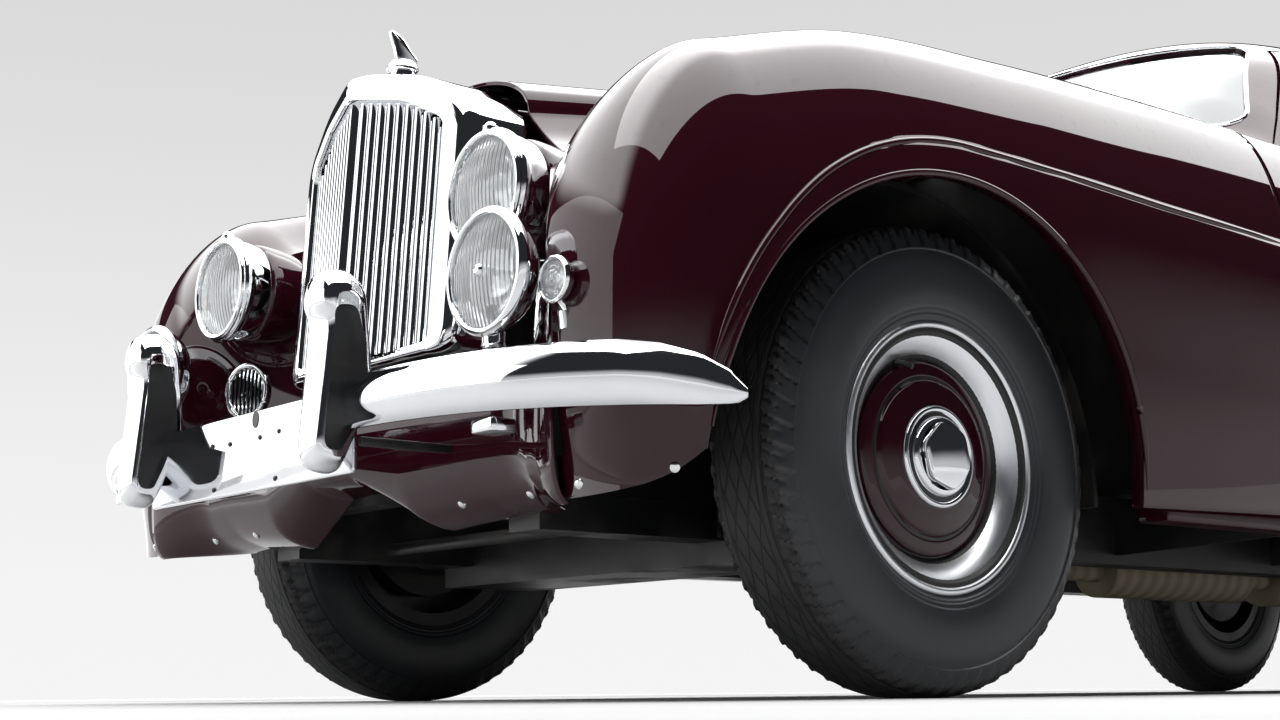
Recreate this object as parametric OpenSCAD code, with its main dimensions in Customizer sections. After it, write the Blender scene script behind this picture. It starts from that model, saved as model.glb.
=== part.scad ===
// Vintage fastback coupe: two-door body on a separate chassis, millimetres.
// +X forward, +Y to the car's left, +Z up, origin on the ground at mid length.
// Body stations and fore-and-aft places count from the front axle line, forward positive.

/* [Overall] */
// Length from overriders to rear bumper
overall_length = 5245; // [5200:5:5300]
// From the front axle line to the overriders' faces
front_overhang = 860; // [840:5:880]
// From the front axle to the rear axle
wheelbase = 3048; // [3020:4:3080]
// Between the front tyres' middles
front_track = 1435; // [1425:1:1440]
// Between the rear tyres' middles
rear_track = 1486; // [1480:1:1490]

/* [Wheels] */
// Radius of the tyre's tread
tyre_r = 372; // [366:1:376]
// Width of the tyre
tyre_w = 176; // [168:1:180]
// Radius of the rim's bead seat
rim_r = 204; // [200:1:208]
// Width over the rim's flanges
rim_w = 150; // [144:1:156]
// Radius of the painted wheel cover
cover_r = 152; // [148:1:156]
// Across the corners of the hexagonal hub cap, half of it
cap_r = 73; // [68:1:78]
// Radius of the stub axles
stub_r = 20; // [18:0.5:22]
// Radius of the brake drums
drum_r = 150; // [140:1:156]

/* [Steering] */
// King pin's distance from the middle plane
king_pin_y = 620; // [614:1:622]
// Radius of the king pins
king_pin_r = 14; // [12:0.5:15]
// Radius of the steering wheel's rim
steering_wheel_r = 215; // [200:1:220]
// Radius of the steering wheel's grip
grip_r = 12; // [10:1:14]

/* [Panels] */
// Thickness of wing and bonnet panels
wing_wall = 9; // [8:0.5:9.5]
// Thickness of the roof and tail with its lining
roof_wall = 28; // [24:1:32]
// Thickness of a whole door
door_wall = 50; // [44:1:54]
// Gap round doors, bonnet and boot lid
shut_gap = 6; // [5.5:0.5:7]
// Radius of the bonnet's centre hinge rod
hinge_rod_r = 9.6; // [9.6:0.1:10]
// Radius of door and boot hinge barrels
barrel_r = 7; // [6.5:0.5:8]
// Thickness of window glass
glass_wall = 6; // [5:0.5:7]

/* [Front] */
// Radius of the front wheel arches
arch_r = 470; // [464:1:476]
// Radius of the headlamps over their rims
headlamp_r = 98; // [94:1:102]
// Radius of the fog lamps
fog_lamp_r = 94; // [90:1:96]
// Radius of the side lamps
side_lamp_r = 33; // [30:1:36]
// Radiator slats on each side of the ridge
slat_count = 10; // [8:1:11]
// Height of the bumper blades
bumper_h = 92; // [86:1:98]

/* [Clearances] */
// Radial clearance at pins and stub axles
pin_fit = 0.05; // [0.03:0.01:0.08]
// Clearance of a hinged edge or a seated piece
seat_fit = 0.3; // [0.25:0.05:0.4]

/* [Hidden] */
$fn = 48;

paint = "#4a0f1c";
bright = "#d9dcdf";
black = "#1b1b1c";

front_axle_x = overall_length / 2 - front_overhang;
rear_x = -wheelbase;
tail_x = front_overhang - overall_length;

// Side of the body by stations from the front axle line:
// x, belt or bonnet shoulder y z, wing crown y z, depth of the valley between them,
// widest point y z, lower edge y z
SIDE = [
    [430, 255, 985, 690, 985, 120, 862, 700, 846, 296],
    [150, 325, 1010, 705, 1058, 115, 886, 740, 850, 300],
    [-200, 420, 1038, 722, 1080, 80, 893, 770, 868, 304],
    [-550, 515, 1064, 738, 1089, 40, 893, 760, 868, 312],
    [-900, 606, 1086, 752, 1090, 8, 893, 740, 865, 320],
    [-1420, 690, 1090, 770, 1078, 0, 891, 710, 860, 322],
    [-2000, 712, 1080, 786, 1048, 0, 890, 690, 855, 322],
    [-2600, 684, 1056, 786, 998, 0, 899, 670, 858, 322],
    [-3048, 620, 1016, 772, 962, 8, 904, 660, 862, 324],
    [-3500, 512, 930, 730, 890, 24, 884, 640, 836, 340],
    [-3900, 380, 800, 638, 786, 30, 800, 600, 745, 372],
    [-4200, 262, 646, 500, 640, 16, 655, 530, 585, 420],
    [-4350, 190, 505, 400, 505, 0, 520, 470, 480, 445]
];
// Middle line of the body: x, height, fullness of the section above the belt, lean of its sides
TOP = [
    [430, 1080, 2.5, 0],
    [-200, 1131, 2.4, 0],
    [-900, 1187.6, 2.4, 0],
    [-1050, 1203, 2.4, 0],
    [-1220, 1382, 2.7, 0.06],
    [-1430, 1532, 3.1, 0.1],
    [-1700, 1586, 3.2, 0.1],
    [-2000, 1600, 3.2, 0.1],
    [-2400, 1574, 3.1, 0.1],
    [-2800, 1484, 2.9, 0.09],
    [-3200, 1330, 2.7, 0.07],
    [-3600, 1122, 2.5, 0.04],
    [-3950, 898, 2.4, 0.02],
    [-4200, 706, 2.3, 0],
    [-4350, 560, 2.2, 0]
];

nose_x = 430;
nose_len = 220;
nose_y = 640;
nose_z = 560;
nose_full = 2.6;
nose_drop = 26;
flank_y = 274;
flank_z = 430;
valley_share = 0.4;
bonnet_edge = 1.25;
wing_edge = 1.3;
scuttle_edge = 1.6;
screen_bow = 180;
bonnet_rise = (TOP[2][1] - TOP[0][1]) / (TOP[0][0] - TOP[2][0]);
bonnet_tilt = atan(bonnet_rise);
bonnet_front = 418;
bonnet_rear = -870;
arch_x = 55;
arch_z = 320;
door_front = -900;
door_rear = -2130;
door_hinge_y = 895;
door_rear_relief = 34;
boot_front = -3440;
boot_rear = -4180;
spat_r = 405;
spat_z = 330;
body_end = SIDE[len(SIDE) - 1][0];
rear_wing_steps = 18;
roof_lines = 18;
wing_joint = 1.004;

// Blending and reading of the station tables
function mix(a, b, t) = a + (b - a) * t;
function ease(t) = t <= 0 ? 0 : t >= 1 ? 1 : t * t * (3 - 2 * t);
function span(tab, x, i = 0) = i >= len(tab) - 2 || x >= tab[i + 1][0] ? i : span(tab, x, i + 1);
function slope(tab, i, c) =
    let (a = tab[max(i - 1, 0)], b = tab[min(i + 1, len(tab) - 1)])
    (b[c] - a[c]) / (b[0] - a[0]);
function at(tab, x, c) =
    let (i = span(tab, x), a = tab[i], b = tab[i + 1], h = b[0] - a[0], t = (x - a[0]) / h)
    let (ma = slope(tab, i, c) * h, mb = slope(tab, i + 1, c) * h)
    a[c] * (1 + 2 * t) * (1 - t) ^ 2 + ma * t * (1 - t) ^ 2
    + b[c] * t * t * (3 - 2 * t) - mb * t * t * (1 - t);
function row(tab, x) = [for (c = [0 : len(tab[0]) - 1]) c == 0 ? x : at(tab, x, c)];
function middle_z(x) = x > TOP[2][0] ? TOP[2][1] - (x - TOP[2][0]) * bonnet_rise : at(TOP, x, 1);

// Sweep back of the windscreen's sides
function bow(u) = screen_bow * ease((-950 - u) / 170) * (1 - ease((-1400 - u) / 620));

// Half section below the belt: 1 belt, 2 wing crown, 3 widest, 4 lower edge
function side_point(x, v) =
    let (s = row(SIDE, x), valley = min(s[2], s[4]) - s[5])
    v <= 2 ?
        let (t = v - 1, fall = t / valley_share, rise = (t - valley_share) / (1 - valley_share))
        [x, mix(s[1], s[3], t), t < valley_share ? valley + (s[2] - valley) * (1 - fall) ^ 2
                                                 : valley + (s[4] - valley) * (1 - cos(180 * rise)) / 2] :
    v <= 3 ?
        [x, s[3] + (s[6] - s[3]) * sin(90 * (v - 2)), s[7] + (s[4] - s[7]) * cos(90 * (v - 2))] :
        [x, mix(s[6], s[8], (v - 3) ^ 2), mix(s[7], s[9], v - 3)];
// Half section above the belt: 0 middle line, 1 belt
function upper_point(u, v) =
    let (back = bow(u), s = row(SIDE, u - back), top = row(TOP, u), e = 2 / top[2])
    let (reach = sin(90 * v) ^ e, rise = cos(90 * v) ^ e)
    [u - back * reach ^ 2, s[1] * reach * (1 - top[3] * rise), mix(s[2], middle_z(u), rise)];
// Inner flank of the wing's nose, from the valley down beside the radiator
function flank_point(v) =
    let (edge = side_point(nose_x, wing_edge), t = (wing_edge - v) / wing_edge)
    [nose_x, mix(edge[1], flank_y, t), mix(edge[2], flank_z, t)];
// Wing nose: the section drawn in to an upright front edge, straight inside and round outside,
// leaving its first station in line with the wing behind and dropping a little along its lower edge
function lead_on(v) =
    let (w = max(v, wing_edge))
    (side_point(nose_x, w) - side_point(nose_x - 1, w)) * min(1, v / wing_edge);
function nose_point(u, v) =
    let (turn = min(90, 90 * (u - nose_x) / nose_len), ahead = nose_len * sin(turn), drop = cos(turn))
    let (p = v < wing_edge ? flank_point(v) : side_point(nose_x, v), on = lead_on(v) * ahead * drop ^ 2)
    let (round_in = (1 - sin(turn) ^ nose_full) ^ (1 / nose_full))
    let (k = mix(1 - sin(turn), round_in, ease((v - wing_edge) / (2 - wing_edge))))
    let (z = p[2] > nose_z ? mix(nose_z, p[2], drop) : p[2] - nose_drop * sin(turn) * ease(v - 3))
    [nose_x + ahead, mix(nose_y, p[1], k) + on[1], z + on[2]];
function skin(u, v) =
    u >= nose_x ? nose_point(u, v) : v < 1 ? upper_point(u, v) : side_point(u - bow(u), v);
function unit(p) = p / norm(p);
function normal(u, v) =
    let (h = 0.4, g = 0.002)
    let (du = u >= nose_x ? skin(u + h, v) - skin(u, v) : skin(u, v) - skin(u - h, v))
    let (dv = skin(u, min(4, v + g)) - skin(u, max(0, v - g)))
    let (n = unit(cross(du, dv)))
    v == 0 ? unit([n[0], 0, n[2]]) : n;
// Point a depth below the skin; negative v lies on the right side
function deep(u, v, depth) =
    let (p = skin(u, abs(v)) - depth * normal(u, abs(v)))
    v < 0 ? [p[0], -p[1], p[2]] : p;

// Wall between two depths over a grid of stations and section lines, cells outside keep left out
module wall(us, vs, depth_out, depth_in, keep = function(u, v) true, lead = function(u, v) 0) {
    nu = len(us);
    nv = len(vs);
    count = nu * nv;
    cells = [for (i = [0 : nu - 2], j = [0 : nv - 2]) if (keep(us[i + 1], vs[j + 1])) [i, j]];
    kept = function(i, j) i >= 0 && j >= 0 && i < nu - 1 && j < nv - 1 && keep(us[i + 1], vs[j + 1]);
    corner = function(i, j, inner) i * nv + j + (inner ? count : 0);
    depth_at = function(u) is_function(depth_in) ? depth_in(u) : depth_in;
    points = [
        for (inner = [false, true], u = us, v = vs)
            deep(u + lead(u, v), v, inner ? depth_at(u) : depth_out)
    ];
    strip = function(a, b, c, d) [[a, b, c], [a, c, d]];
    faces = [
        for (c = cells)
            let (i = c[0], j = c[1])
            let (a = corner(i, j, false), b = corner(i + 1, j, false))
            let (d = corner(i, j + 1, false), e = corner(i + 1, j + 1, false))
            each concat(
                strip(a, b, e, d),
                strip(a + count, d + count, e + count, b + count),
                kept(i - 1, j) ? [] : strip(a, d, d + count, a + count),
                kept(i + 1, j) ? [] : strip(e, b, b + count, e + count),
                kept(i, j - 1) ? [] : strip(b, a, a + count, b + count),
                kept(i, j + 1) ? [] : strip(d, e, e + count, d + count)
            )
    ];
    polyhedron(points, faces, convexity = 8);
}
function steps(a, b, n) = [for (i = [0 : n]) mix(a, b, i / n)];

// Outline with each corner drawn round
function rounded(pts, r) = [
    for (i = [0 : len(pts) - 1])
        let (p = pts[i], a = pts[(i + len(pts) - 1) % len(pts)], b = pts[(i + 1) % len(pts)])
        let (from = p + min(r, norm(a - p) / 2.1) * unit(a - p))
        let (to = p + min(r, norm(b - p) / 2.1) * unit(b - p))
        for (t = [0 : 0.25 : 1]) mix(mix(from, p, t), mix(p, to, t), t)
];
module side_cut(pts, y0, y1) {
    translate([0, y1, 0])
        rotate([90, 0, 0])
            linear_extrude(y1 - y0)
                polygon(pts);
}
module front_cut(pts, x0, x1) {
    translate([x0, 0, 0])
        rotate([90, 0, 90])
            linear_extrude(x1 - x0)
                polygon(pts);
}
module across(x, z, r, y0, y1) {
    translate([x, y0, z])
        rotate([-90, 0, 0])
            cylinder(h = y1 - y0, r = r);
}
module along(y, z, r, x0, x1) {
    translate([x0, y, z])
        rotate([0, 90, 0])
            cylinder(h = x1 - x0, r = r);
}
module box(x0, x1, y0, y1, z0, z1) {
    translate([x0, y0, z0])
        cube([x1 - x0, y1 - y0, z1 - z0]);
}
module from_axle() {
    translate([front_axle_x, 0, 0])
        children();
}
module both_sides() {
    children();
    mirror([0, 1, 0])
        children();
}

// Outlines of openings, side view x z unless said
ARCH_CORNER = [[500, 200], [500, 340], [526, 340], [546, 322], [575, 301], [612, 285], [660, 270],
               [660, 200]];
DOOR_OPENING = [
    [door_front, 300], [door_front, 1088], [-1222, 1088], [-1572, 1482],
    [-1850, 1503], [door_rear + 10, 1484], [door_rear, 1060], [door_rear, 300]
];
DOOR_WINDOW = rounded([[-1296, 1112], [-1596, 1450], [-1850, 1468], [-2068, 1453], [-2068, 1112]], 36);
QUARTER_WINDOW = rounded([[-2196, 1112], [-2196, 1446], [-2430, 1404], [-2790, 1180], [-2720, 1112]], 50);
// Front view y z
WINDSCREEN = rounded([[-565, 1222], [565, 1222], [432, 1496], [-432, 1496]], 70);
GRILLE_OUTLINE = rounded([[-262, 555], [262, 555], [262, 985], [140, 1060], [0, 1086], [-140, 1060],
                          [-262, 985]], 50);
GRILLE_OPENING = rounded([[-210, 578], [210, 578], [210, 960], [120, 1008], [0, 1032], [-120, 1008],
                          [-210, 960]], 24);
// Plan view x y
REAR_WINDOW = rounded([[-2840, 400], [-3230, 350], [-3230, -350], [-2840, -400]], 90);
BOOT_OPENING = rounded([[boot_front, 400], [boot_rear, 232], [boot_rear, -232], [boot_front, -400]], 70);

door_sill_z = 335;
rail_y = 330;
rail_front = 500;
rail_rear = -4250;
rail_w = 80;
rail_z = 262;
rail_top = 400;
floor_wall = 12;
roof_depth = function(u) mix(roof_wall, wing_wall, ease((-3600 - u) / 450));
bonnet_lead = function(u, v) (skin(u, abs(v))[2] - middle_z(u)) * bonnet_rise;

// Front wing with headlamp pod and door hinge barrels
module front_wing() {
    us = concat([649.5, 640, 622, 594, 552, 496, nose_x], steps(345, door_front + shut_gap / 2, 9));
    vs = concat(steps(0, wing_edge, 4), [1.42, 1.6, 1.8], steps(2, 3, 5), steps(3.25, 4, 3));
    color(paint)
        from_axle() {
            difference() {
                union() {
                    wall(us, vs, 0, wing_wall, function(u, v) u >= nose_x || v > wing_edge + 0.01);
                    along(headlamp_y, headlamp_z, headlamp_r - 4, 400, headlamp_x - lamp_depth);
                }
                across(arch_x, arch_z, arch_r, 700, 1000);
                side_cut(ARCH_CORNER, 632, 1000);
            }
            for (z = [590, 770])
                translate([door_front, door_hinge_y, z])
                    cylinder(h = 60, r = barrel_r);
        }
}
module front_wing_left() front_wing();
module front_wing_right() mirror([0, 1, 0]) front_wing();

// Lower front panel between the wing noses, creased at the middle and curved under, with holes for the irons
apron_y = 560;
apron_wall = 8;
apron_crease_x = 648;
function flank_x(y) = nose_x + nose_len * (y - flank_y) / (nose_y - flank_y);
apron_veer = (apron_crease_x - flank_x(apron_y) - apron_wall - seat_fit) / apron_y;
function apron_x(y) = apron_crease_x - abs(y) * apron_veer;
// Outer face from the top down, back from the crease and height
APRON = [[0, 470], [0, 372], [-14, 326], [-48, 292], [-92, 276]];
module apron_half() {
    last = len(APRON) - 1;
    inner = [for (i = [last : -1 : 0])
        APRON[i] + apron_wall * (i == last ? [0, 1] : i == 0 ? [-1, 0] : [-0.8, 0.6])];
    intersection() {
        translate([apron_crease_x, 0, 0])
            rotate([0, 0, atan(apron_veer)])
                side_cut(concat(APRON, inner), -60, apron_y + 60);
        box(300, 700, 0, apron_y, 200, 500);
    }
}
module front_apron() {
    color(paint)
        from_axle()
            difference() {
                both_sides()
                    apron_half();
                both_sides()
                    bumper_iron(iron_gap);
            }
}

// Panel between bonnet and windscreen, with the bonnet's hinge rod
module bonnet_axis(r) {
    run = (bonnet_front - bonnet_rear + shut_gap) / cos(bonnet_tilt);
    translate([bonnet_rear - shut_gap, 0, middle_z(bonnet_rear - shut_gap)])
        rotate([0, 90 + bonnet_tilt, 0])
            cylinder(h = run, r = r);
}
module scuttle() {
    wing_end = door_front + shut_gap / 2;
    inner_edge = wing_edge - 0.005;
    half = [1.15, inner_edge, scuttle_edge];
    vs = concat([for (i = [2 : -1 : 0]) -half[i]], steps(-1, 1, roof_lines), half);
    color(paint)
        from_axle() {
            wall(concat([bonnet_rear - shut_gap], steps(wing_end - seat_fit, TOP[3][0] + 3 * seat_fit, 4)), vs,
                 0, roof_wall,
                 function(u, v) u < wing_end - 1 || (v > -inner_edge + 0.001 && v < inner_edge + 0.001),
                 function(u, v) u > wing_end ? bonnet_lead(u, v) : 0);
            bonnet_axis(hinge_rod_r);
        }
}

module bonnet_half() {
    us = steps(bonnet_front, bonnet_rear, 10);
    color(paint)
        from_axle()
            difference() {
                wall(us, concat(steps(0, 1, 8), [1.12, bonnet_edge]), 0, wing_wall,
                     function(u, v) true, bonnet_lead);
                bonnet_axis(hinge_rod_r + seat_fit);
            }
}
module bonnet_left() bonnet_half();
module bonnet_right() mirror([0, 1, 0]) bonnet_half();

// Door: the thick side wall inside the door outline, window cut out
module door() {
    us = steps(-880, door_rear - 20, 13);
    vs = concat(steps(0.25, 1, 6), steps(1.33, 2, 2), steps(2.25, 3, 3), steps(3.33, 4, 2));
    color(paint)
        from_axle()
            difference() {
                intersection() {
                    wall(us, vs, 0, door_wall);
                    translate([0, 1000, 0])
                        rotate([90, 0, 0])
                            linear_extrude(700)
                                offset(delta = -shut_gap)
                                    polygon(DOOR_OPENING);
                }
                side_cut(DOOR_WINDOW, 200, 1000);
                wall([-870, -960, TOP[3][0] - 12], [0.2, 0.6, 1, 1.3, scuttle_edge + 0.07], -20, 90);
                box(door_rear - 20, door_rear + door_rear_relief, 300, 1000, 1070, 1600);
                box(door_rear - 200, door_front + 200, 300, 1000, 200, door_sill_z);
                translate([door_front, door_hinge_y, 0])
                    cylinder(h = 1600, r = barrel_r + seat_fit);
            }
}
module door_left() door();
module door_right() mirror([0, 1, 0]) door();
module door_glass() {
    color("lightblue", 0.4)
        from_axle()
            intersection() {
                wall(steps(-1000, door_rear, 10), steps(0.25, 1.1, 6), 18, 18 + glass_wall);
                translate([0, 1000, 0])
                    rotate([90, 0, 0])
                        linear_extrude(700)
                            offset(delta = -seat_fit)
                                polygon(DOOR_WINDOW);
            }
}
module door_glass_left() door_glass();
module door_glass_right() mirror([0, 1, 0]) door_glass();

// Roof, pillars and fastback tail above the belt
module boot_axis(r, y0, y1) {
    across(boot_front, middle_z(boot_front) + 1, r, y0, y1);
}
module roof_shell() {
    color(paint)
        from_axle() {
            difference() {
                wall(concat(steps(TOP[3][0], door_rear + 108, 9), steps(door_rear, body_end, rear_wing_steps)),
                     steps(-1, 1, roof_lines), 0, roof_depth);
                both_sides() {
                    side_cut(DOOR_OPENING, 200, 1000);
                    side_cut(QUARTER_WINDOW, 200, 1000);
                }
                front_cut(WINDSCREEN, -1700, -800);
                translate([0, 0, 900])
                    linear_extrude(900)
                        polygon(REAR_WINDOW);
                translate([0, 0, 500])
                    linear_extrude(900)
                        polygon(BOOT_OPENING);
            }
            both_sides()
                boot_axis(barrel_r, 20, 80);
        }
}
module boot_lid() {
    color(paint)
        from_axle()
            difference() {
                intersection() {
                    wall(steps(boot_front + 40, boot_rear - 40, 10), steps(-1, 1, 14), 0, roof_depth);
                    translate([0, 0, 500])
                        linear_extrude(900)
                            offset(delta = -shut_gap)
                                polygon(BOOT_OPENING);
                }
                boot_axis(barrel_r + seat_fit, -400, 400);
            }
}

// Rear wing with its wheel opening, and the spat that closes it
module rear_wing() {
    color(paint)
        from_axle()
            difference() {
                wall(steps(door_rear, body_end, rear_wing_steps),
                     concat([wing_joint], steps(1.25, 2, 3), steps(2.25, 3, 3), steps(3.33, 4, 2)),
                     0, wing_wall);
                across(rear_x, spat_z, spat_r, 700, 1000);
            }
}
module rear_wing_left() rear_wing();
module rear_wing_right() mirror([0, 1, 0]) rear_wing();
module wheel_spats() {
    color(paint)
        from_axle()
            both_sides()
                intersection() {
                    wall(steps(rear_x + 480, rear_x - 480, 8), concat(steps(2.25, 3, 3), steps(3.33, 4, 2)),
                         0, wing_wall);
                    across(rear_x, spat_z, spat_r - seat_fit, 700, 1000);
                }
}

// Panel that closes the body's end
module tail_panel() {
    half = [for (v = steps(0, 4, 24)) let (p = skin(body_end, v)) [p[1], p[2]]];
    outline = concat(half, [for (i = [len(half) - 1 : -1 : 1]) [-half[i][0], half[i][1]]]);
    color(paint)
        from_axle()
            front_cut(outline, body_end - wing_wall, body_end - seat_fit);
}

// Sill strips under the doors
sill_x = [-2560, -520];
sill_y = [780, 846];
sill_z = [294, 328];
module sills() {
    color(paint)
        from_axle()
            both_sides()
                box(sill_x[0], sill_x[1], sill_y[0], sill_y[1], sill_z[0], sill_z[1]);
}

// Fixed glass: windscreen, rear window and quarter lights
module window_glass() {
    color("lightblue", 0.4)
        from_axle() {
            intersection() {
                wall(steps(TOP[3][0], -1500, 8), steps(-0.95, 0.95, 12), 10, 10 + glass_wall);
                translate([-1700, 0, 0])
                    rotate([90, 0, 90])
                        linear_extrude(900)
                            offset(delta = -seat_fit)
                                polygon(WINDSCREEN);
            }
            intersection() {
                wall(steps(-2780, -3300, 6), steps(-0.9, 0.9, 10), 10, 10 + glass_wall);
                translate([0, 0, 900])
                    linear_extrude(900)
                        offset(delta = -seat_fit)
                            polygon(REAR_WINDOW);
            }
            both_sides()
                intersection() {
                    wall(steps(door_rear, -2850, 6), steps(0.3, 1.1, 5), 10, 10 + glass_wall);
                    translate([0, 1000, 0])
                        rotate([90, 0, 0])
                            linear_extrude(700)
                                offset(delta = -seat_fit)
                                    polygon(QUARTER_WINDOW);
                }
        }
}

// Radiator shell: ridged in plan, leaning back, squared off to the bonnet behind
grille_x = 630;
grille_z = 800;
grille_lean = 4;
grille_veer = 0.305;
grille_back = 470;
radiator_foot_y = [200, 240];
module ridge(recess) {
    translate([grille_x - recess, 0, grille_z])
        rotate([0, -grille_lean, 0])
            translate([0, 0, -400])
                linear_extrude(800)
                    polygon([[0, 0], [-300 * grille_veer, 300], [-400, 300], [-400, -300],
                             [-300 * grille_veer, -300]]);
}
module radiator_shell() {
    color(bright)
        from_axle() {
            difference() {
                intersection() {
                    front_cut(GRILLE_OUTLINE, 380, 700);
                    ridge(0);
                    translate([bonnet_front + shut_gap, -400, middle_z(bonnet_front)])
                        rotate([0, bonnet_tilt, 0])
                            translate([0, 0, -700])
                                cube([400, 800, 900]);
                }
                front_cut(GRILLE_OPENING, grille_back, 700);
            }
            both_sides()
                box(rail_front - 60, grille_back - 2, radiator_foot_y[0], radiator_foot_y[1], rail_top, 580);
            translate([520, 0, 1060])
                cylinder(h = 46, r = 24);
            translate([520, 0, 1106])
                cylinder(h = 12, r1 = 30, r2 = 22);
        }
}
module radiator_slats() {
    pitch = 2 * 210 / (2 * slat_count + 1);
    color(bright)
        from_axle()
            intersection() {
                for (i = [-slat_count : slat_count])
                    box(grille_back, 700, i * pitch - pitch * 0.34, i * pitch + pitch * 0.34, 560, 1050);
                ridge(16);
                front_cut(GRILLE_OPENING, grille_back, 700);
            }
}

// Lamps: each row is front x, y, z, radius, depth, share of the radius at the back
headlamp_x = 626;
headlamp_y = 433;
headlamp_z = 772;
lamp_depth = 65;
fog_lamp = [707, 550, 614];
side_lamp = [672, 671, 585];
LAMPS = [
    for (side = [1, -1])
        each [
            [headlamp_x, side * headlamp_y, headlamp_z, headlamp_r, lamp_depth, 0.9],
            [fog_lamp[0], side * fog_lamp[1], fog_lamp[2], fog_lamp_r, 62, 0.4],
            [side_lamp[0], side * side_lamp[1], side_lamp[2], side_lamp_r, 22, 0.9]
        ]
];
lamp_rim = 10;
lens_wall = 5;
lens_crown = 6;
module lamp_shells() {
    color(bright)
        from_axle() {
            for (l = LAMPS)
                translate([l[0], l[1], l[2]])
                    rotate([0, 90, 0])
                        difference() {
                            union() {
                                translate([0, 0, -l[4]])
                                    cylinder(h = l[4] / 2, r1 = l[3] * l[5], r2 = l[3] * 0.94);
                                translate([0, 0, -l[4] / 2])
                                    cylinder(h = l[4] / 2, r = l[3]);
                            }
                            translate([0, 0, -lens_wall * 2])
                                cylinder(h = 40, r = l[3] - lamp_rim);
                        }
            both_sides()
                fog_stalk();
        }
}
module fog_stalk() {
    x = fog_lamp[0] - 16;
    foot_z = 440;
    translate([x, fog_lamp[1], foot_z - 8])
        cylinder(h = fog_lamp[2] - fog_lamp_r - foot_z + 12, r = 9);
    along(fog_lamp[1], foot_z, 8, apron_x(fog_lamp[1] - 8) + seat_fit, x);
}
module lamp_lenses() {
    color("white", 0.6)
        from_axle()
            for (l = LAMPS)
                translate([l[0] - lens_wall * 2, l[1], l[2]])
                    rotate([0, 90, 0])
                        cylinder(h = lens_wall * 2 + lens_crown, r1 = l[3] - lamp_rim - seat_fit,
                                 r2 = l[3] - lamp_rim - 8);
}
// Tail lamps set square on the rear wings' skin
module tail_lamps() {
    u = mix(door_rear, body_end, 16 / rear_wing_steps);
    p = skin(u, 2.5);
    n = normal(u, 2.5);
    color("darkred")
        from_axle()
            both_sides()
                translate(p + seat_fit * n)
                    rotate([0, acos(n[2]), atan2(n[1], n[0])])
                        cylinder(h = 30, r1 = 40, r2 = 30);
}

// Front bumper: middle blade, sprung side blades, overriders and irons
blade_wall = 9;
bumper_z = 420;
overrider_y = 314;
overrider_w = 66;
side_blade_r = 690;
iron_z = [366, 396];
iron_gap = 4;
blade_foot_z = 400;
rear_blade_y = 700;
rear_bumper_z = 392;
// Upper edge of the side blades, front view y z
BLADE_TOP = [[342, 460], [410, 467], [490, 476], [620, 488], [730, 489], [780, 482], [815, 470],
             [852, 450], [878, 430], [890, 412]];
module overrider(face) {
    outline = [[-52, 333], [-9, 338], [0, 372], [-10, 470], [-18, 556], [-4, 598], [-13, 636], [-57, 647],
               [-87, 628], [-100, 540], [-105, 470], [-82, 400]];
    translate([face, 0, 0])
        side_cut(rounded(outline, 14), overrider_y - overrider_w / 2, overrider_y + overrider_w / 2);
}
module side_blade() {
    arc = [for (a = [0 : 4 : 56]) [cos(a), sin(a)]];
    inner = side_blade_r - blade_wall;
    start = overrider_y + overrider_w / 2;
    plan = concat([for (p = arc) p * side_blade_r], [for (i = [len(arc) - 1 : -1 : 0]) arc[i] * inner]);
    intersection() {
        translate([front_overhang - 70 - side_blade_r, start, blade_foot_z - 50])
            linear_extrude(200)
                polygon(plan);
        front_cut(concat([[start, blade_foot_z]], BLADE_TOP, [[890, blade_foot_z]]), 0, 900);
    }
}
module bumper_iron(room) {
    box(rail_front, front_overhang - 70, overrider_y + 18 - room, overrider_y + 38 + room,
        iron_z[0] - room, iron_z[1] + room);
}
module front_bumper() {
    face = front_overhang;
    color(bright)
        from_axle() {
            box(face - 70 - blade_wall, face - 70, -overrider_y + 20, overrider_y - 20,
                bumper_z - bumper_h / 2, bumper_z + bumper_h / 2);
            both_sides() {
                overrider(face);
                side_blade();
                bumper_iron(0);
            }
        }
}
module rear_bumper() {
    r = 2600;
    reach = asin(rear_blade_y / r);
    arc = [for (a = steps(-reach, reach, 20)) [-cos(a), sin(a)]];
    plan = concat([for (p = arc) p * r], [for (i = [len(arc) - 1 : -1 : 0]) arc[i] * (r - blade_wall)]);
    color(bright)
        from_axle() {
            translate([tail_x + r, 0, rear_bumper_z - bumper_h / 2])
                linear_extrude(bumper_h)
                    polygon(plan);
            both_sides()
                box(tail_x + 20, rail_rear, rail_y + 10, rail_y + 50, rear_bumper_z - 20, rear_bumper_z + 20);
        }
}

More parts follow.
